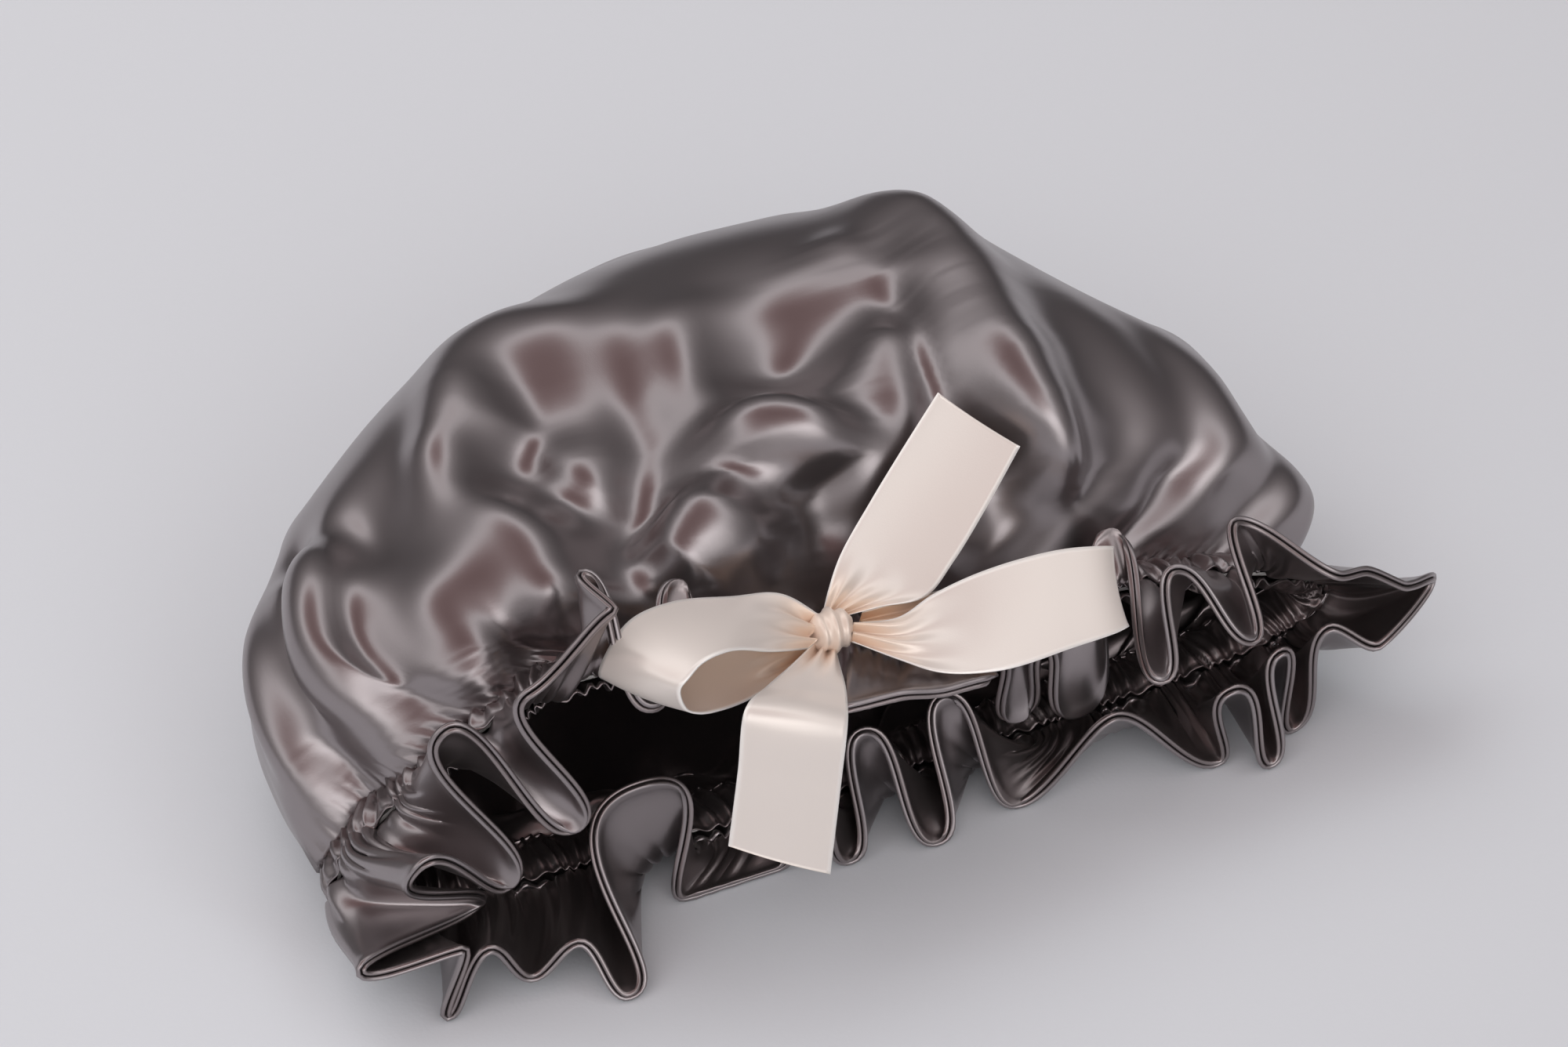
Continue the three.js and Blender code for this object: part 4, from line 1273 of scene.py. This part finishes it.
def ribbon_sheet(stations, is_loop, pleat_run):
    """A ribbon's middle surface between its two edges, pleated where it leaves the knot. Returns it with its
    normals, the distances along it, and how near the knot each of them is, from 0 to 1."""
    first = open_spline([over_bow(pixel, lift) for pixel, lift, _, _ in stations], RIBBON_STEPS)
    second = open_spline([over_bow(pixel, lift) for _, _, pixel, lift in stations], RIBBON_STEPS)
    run = run_of((first + second) / 2)
    marks = np.linspace(0, run[-1], round(run[-1] / RIBBON_STEP) + 1)
    first, second = at_run(first, run, marks), at_run(second, run, marks)
    across = np.linspace(0, 1, RIBBON_CELLS + 1)
    sheet = first[:, None] + (second - first)[:, None] * across[None, :, None]
    normal = unit(np.cross(np.gradient(sheet, axis=0), np.gradient(sheet, axis=1)))
    near_knot = 1 - ramp(marks / pleat_run)
    if is_loop:
        near_knot = np.maximum(near_knot, 1 - ramp((run[-1] - marks) / pleat_run))
    pleats = LOOP_PLEATS if is_loop else TAIL_PLEATS
    folds = pleats * near_knot[:, None] * np.cos(2 * np.pi * PLEATS_ACROSS * across)[None]
    cup = RIBBON_CUP * (1 - (2 * across - 1) ** 2)[None] * (1 - near_knot[:, None])
    return sheet + normal * (folds + cup)[..., None], normal, marks, near_knot


def ribbon_ends(rows, columns):
    """Quads that close a ribbon's two cut ends."""
    ends = []
    for row, turn in ((0, 1), (rows - 1, -1)):
        base = row * columns
        for j in range(RIBBON_CELLS):
            quad = [base + j, base + j + 1, base + columns - 2 - j, base + columns - 1 - j]
            ends.append(quad[::turn])
    return np.array(ends)


def ribbon_strip(name, stations, is_loop, pleat_run, painted_face_glow):
    """A ribbon with thicker selvedges, and its length. Its last argument is the painted warm glow on its
    first and second face.
    """
    sheet, normal, marks, near_knot = ribbon_sheet(stations, is_loop, pleat_run)
    across = np.linspace(0, 1, RIBBON_CELLS + 1)
    thick = RIBBON_HALF_THICK + SELVEDGE * np.exp(-((1 - np.abs(2 * across - 1)) / SELVEDGE_WIDTH) ** 2)
    top = sheet + normal * thick[None, :, None]
    under = sheet - normal * thick[None, :, None]
    ring = np.concatenate([top, under[:, ::-1]], axis=1)
    rows, columns = ring.shape[:2]
    faces = np.concatenate([grid_faces(rows, columns, True), ribbon_ends(rows, columns)])
    u = np.concatenate([across, across[::-1]])
    uv = np.stack([np.tile(u * RIBBON_PATTERN, rows), np.repeat(marks / RIBBON_WIDTH, columns)], 1)
    ribbon = mesh_object(name, ring.reshape(-1, 3), faces[:, ::-1], RIBBON, uv)
    # Painted warm glow, on the loop's inner face and strongest at the knot
    painted_glow = np.repeat(painted_face_glow, RIBBON_CELLS + 1)[None] + KNOT_PAINTED_GLOW * near_knot[:, None] ** 2
    set_attribute(ribbon, "painted_glow", np.clip(painted_glow, 0, 1).reshape(-1))
    set_attribute(ribbon, "selvedge", np.tile(ramp((np.abs(2 * u - 1) - PALE_FROM) / PALE_OVER), rows))
    return ribbon, marks[-1]


def make_knot():
    """A wrap of pleated ribbon over the loops' middle, closed at both sides."""
    centre = over_bow(KNOT_PIXEL, KNOT_LIFT)
    angle = np.arange(KNOT_TURNS) / KNOT_TURNS * 2 * np.pi
    s, a = np.meshgrid(np.linspace(-1, 1, KNOT_CELLS + 1), angle, indexing="ij")
    pleat = KNOT_PLEAT * np.cos(s * KNOT_PLEATS + KNOT_PLEAT_SWAY * np.sin(a)) * (1 - s**4)
    draw = np.sqrt(1 - (KNOT_DRAW * s) ** 2)
    height = (KNOT_HALF_HEIGHT * draw + pleat) * np.cos(a)
    depth = (KNOT_HALF_DEPTH * draw + pleat) * np.sin(a)
    width = KNOT_HALF_WIDTH * s * (1 + KNOT_SWELL * np.sin(2 * a))
    points = centre + width[..., None] * BOW_RIGHT + height[..., None] * BOW_UP + depth[..., None] * BOW_FRONT
    ends = [centre - BOW_RIGHT * KNOT_HALF_WIDTH, centre + BOW_RIGHT * KNOT_HALF_WIDTH]
    points = np.concatenate([points.reshape(-1, 3), ends])
    quads = grid_faces(KNOT_CELLS + 1, KNOT_TURNS, True)
    ring = np.arange(KNOT_TURNS)
    after = (ring + 1) % KNOT_TURNS
    left = np.stack([after, ring, np.full(KNOT_TURNS, len(points) - 2)], 1)
    right = np.stack([ring, after, np.full(KNOT_TURNS, len(points) - 1)], 1)
    right[:, :2] += KNOT_CELLS * KNOT_TURNS
    faces = np.concatenate([quads[:, [0, 1, 2]], quads[:, [0, 2, 3]], left, right])
    knot = mesh_object("bow_knot_wrap", points, faces, RIBBON)
    # Painted warm glow over the whole knot
    set_attribute(knot, "painted_glow", np.full(len(points), KNOT_PAINTED_GLOW / 2))
    return knot


# Stage

def make_floor():
    """A plain pale floor."""
    corners = [(x * FLOOR_HALF, y * FLOOR_HALF, 0) for x, y in ((-1, -1), (1, -1), (1, 1), (-1, 1))]
    mesh = bpy.data.meshes.new("floor")
    mesh.from_pydata(corners, [], [(0, 1, 2, 3)])
    mesh.materials.append(matt("pale_floor", FLOOR_PALE, FLOOR_SHADE, FLOOR_ROUGHNESS))
    floor = bpy.data.objects.new("floor", mesh)
    bpy.context.scene.collection.objects.link(floor)


def area_light(name, place, size, power, colour):
    """A lamp that no ray from the camera or from a shiny surface sees."""
    data = bpy.data.lights.new(name, "AREA")
    data.shape = "RECTANGLE"
    data.size, data.size_y = size
    data.energy = power
    data.color = colour
    light = bpy.data.objects.new(name, data)
    light.location = place
    aim = Vector((-place[0], -place[1], LAMP_AIM - place[2]))
    light.rotation_euler = aim.to_track_quat("-Z", "Y").to_euler()
    light.visible_glossy = False
    light.visible_camera = False
    bpy.context.scene.collection.objects.link(light)


def toward(nodes, links, way):
    """How nearly a direction of the studio points a given way, as a cosine."""
    where = nodes.new("ShaderNodeTexCoord")
    cosine = nodes.new("ShaderNodeVectorMath")
    cosine.operation = "DOT_PRODUCT"
    cosine.inputs[1].default_value = unit(np.array(way))
    links.new(where.outputs["Generated"], cosine.inputs[0])
    return cosine.outputs["Value"]


def make_world():
    """Studio with a brown dark over the camera, a light ring, grey walls and a low light in front."""
    world = bpy.data.worlds.new("studio")
    bpy.context.scene.world = world
    world.use_nodes = True
    nodes, links = world.node_tree.nodes, world.node_tree.links
    share = nodes.new("ShaderNodeMapRange")
    set_inputs(share, {"From Min": -1})
    links.new(toward(nodes, links, STUDIO_DARK_AT), share.inputs["Value"])
    tones = nodes.new("ShaderNodeValToRGB")
    tones.color_ramp.interpolation = "EASE"
    stops = tones.color_ramp.elements
    while len(stops) < len(STUDIO_TONES):
        stops.new(0.5)
    for stop, (cosine, tone) in zip(stops, STUDIO_TONES):
        stop.position = (cosine + 1) / 2
        stop.color = (*tone, 1)
    links.new(share.outputs["Result"], tones.inputs["Fac"])
    low = nodes.new("ShaderNodeMapRange")
    low.interpolation_type = "SMOOTHSTEP"
    set_inputs(low, {"From Min": LOW_LIGHT_EDGE, "To Max": LOW_LIGHT})
    links.new(toward(nodes, links, LOW_LIGHT_AT), low.inputs["Value"])
    both = nodes.new("ShaderNodeVectorMath")
    links.new(tones.outputs["Color"], both.inputs[0])
    links.new(low.outputs["Result"], both.inputs[1])
    links.new(both.outputs["Vector"], nodes["Background"].inputs["Color"])


def make_light():
    """The studio and its lamps."""
    make_world()
    for lamp in LAMPS:
        area_light(*lamp)
    bpy.context.scene.view_settings.view_transform = "Standard"


# Pieces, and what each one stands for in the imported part

make_floor()
make_light()
crown, crown_lining = make_crown()
casing = make_casing("casing_outer_cloth", 1, SATIN)
casing_lining = make_casing("casing_lining_cloth", -1, LINING)
stitches = make_stitches()
elastic = make_elastic()
ruffle, ruffle_lining = make_ruffle()
left_loop, left_length = ribbon_strip(
    "bow_left_loop_ribbon", LEFT_LOOP, True, LEFT_PLEAT_RUN, (0, LOOP_PAINTED_GLOW))
right_loop, right_length = ribbon_strip(
    "bow_right_loop_ribbon", RIGHT_LOOP, True, RIGHT_PLEAT_RUN, (LOOP_PAINTED_GLOW, 0))
upper_tail, upper_length = ribbon_strip("bow_upper_tail_ribbon", UPPER_TAIL, False, TAIL_PLEAT_RUN, (0, 0))
lower_tail, lower_length = ribbon_strip("bow_lower_tail_ribbon", LOWER_TAIL, False, TAIL_PLEAT_RUN, (0, 0))
knot = make_knot()

frame["nodes"]["bow_tack"].data.materials.clear()
frame["nodes"]["bow_tack"].data.materials.append(TACK)

for piece, node, slot in (
        (crown, "outer_crown", "satin"), (crown_lining, "lining_crown", "lining"),
        (casing, "casing_outer", "satin"), (casing_lining, "casing_lining", "lining"),
        (elastic, "elastic_band", "elastic"), (ruffle, "outer_ruffle", "satin"),
        (ruffle_lining, "lining_ruffle", "lining"), (knot, "bow_knot", "ribbon")):
    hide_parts(node)
    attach(piece, "cap")

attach(stitches, "cap")

for piece, body, way, length in (
        (left_loop, "left_loop", -BOW_RIGHT, left_length),
        (right_loop, "right_loop", BOW_RIGHT, right_length),
        (upper_tail, "upper_tail", BOW_UP, upper_length),
        (lower_tail, "lower_tail", -BOW_UP, lower_length)):
    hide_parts("bow_" + body)
    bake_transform(piece)
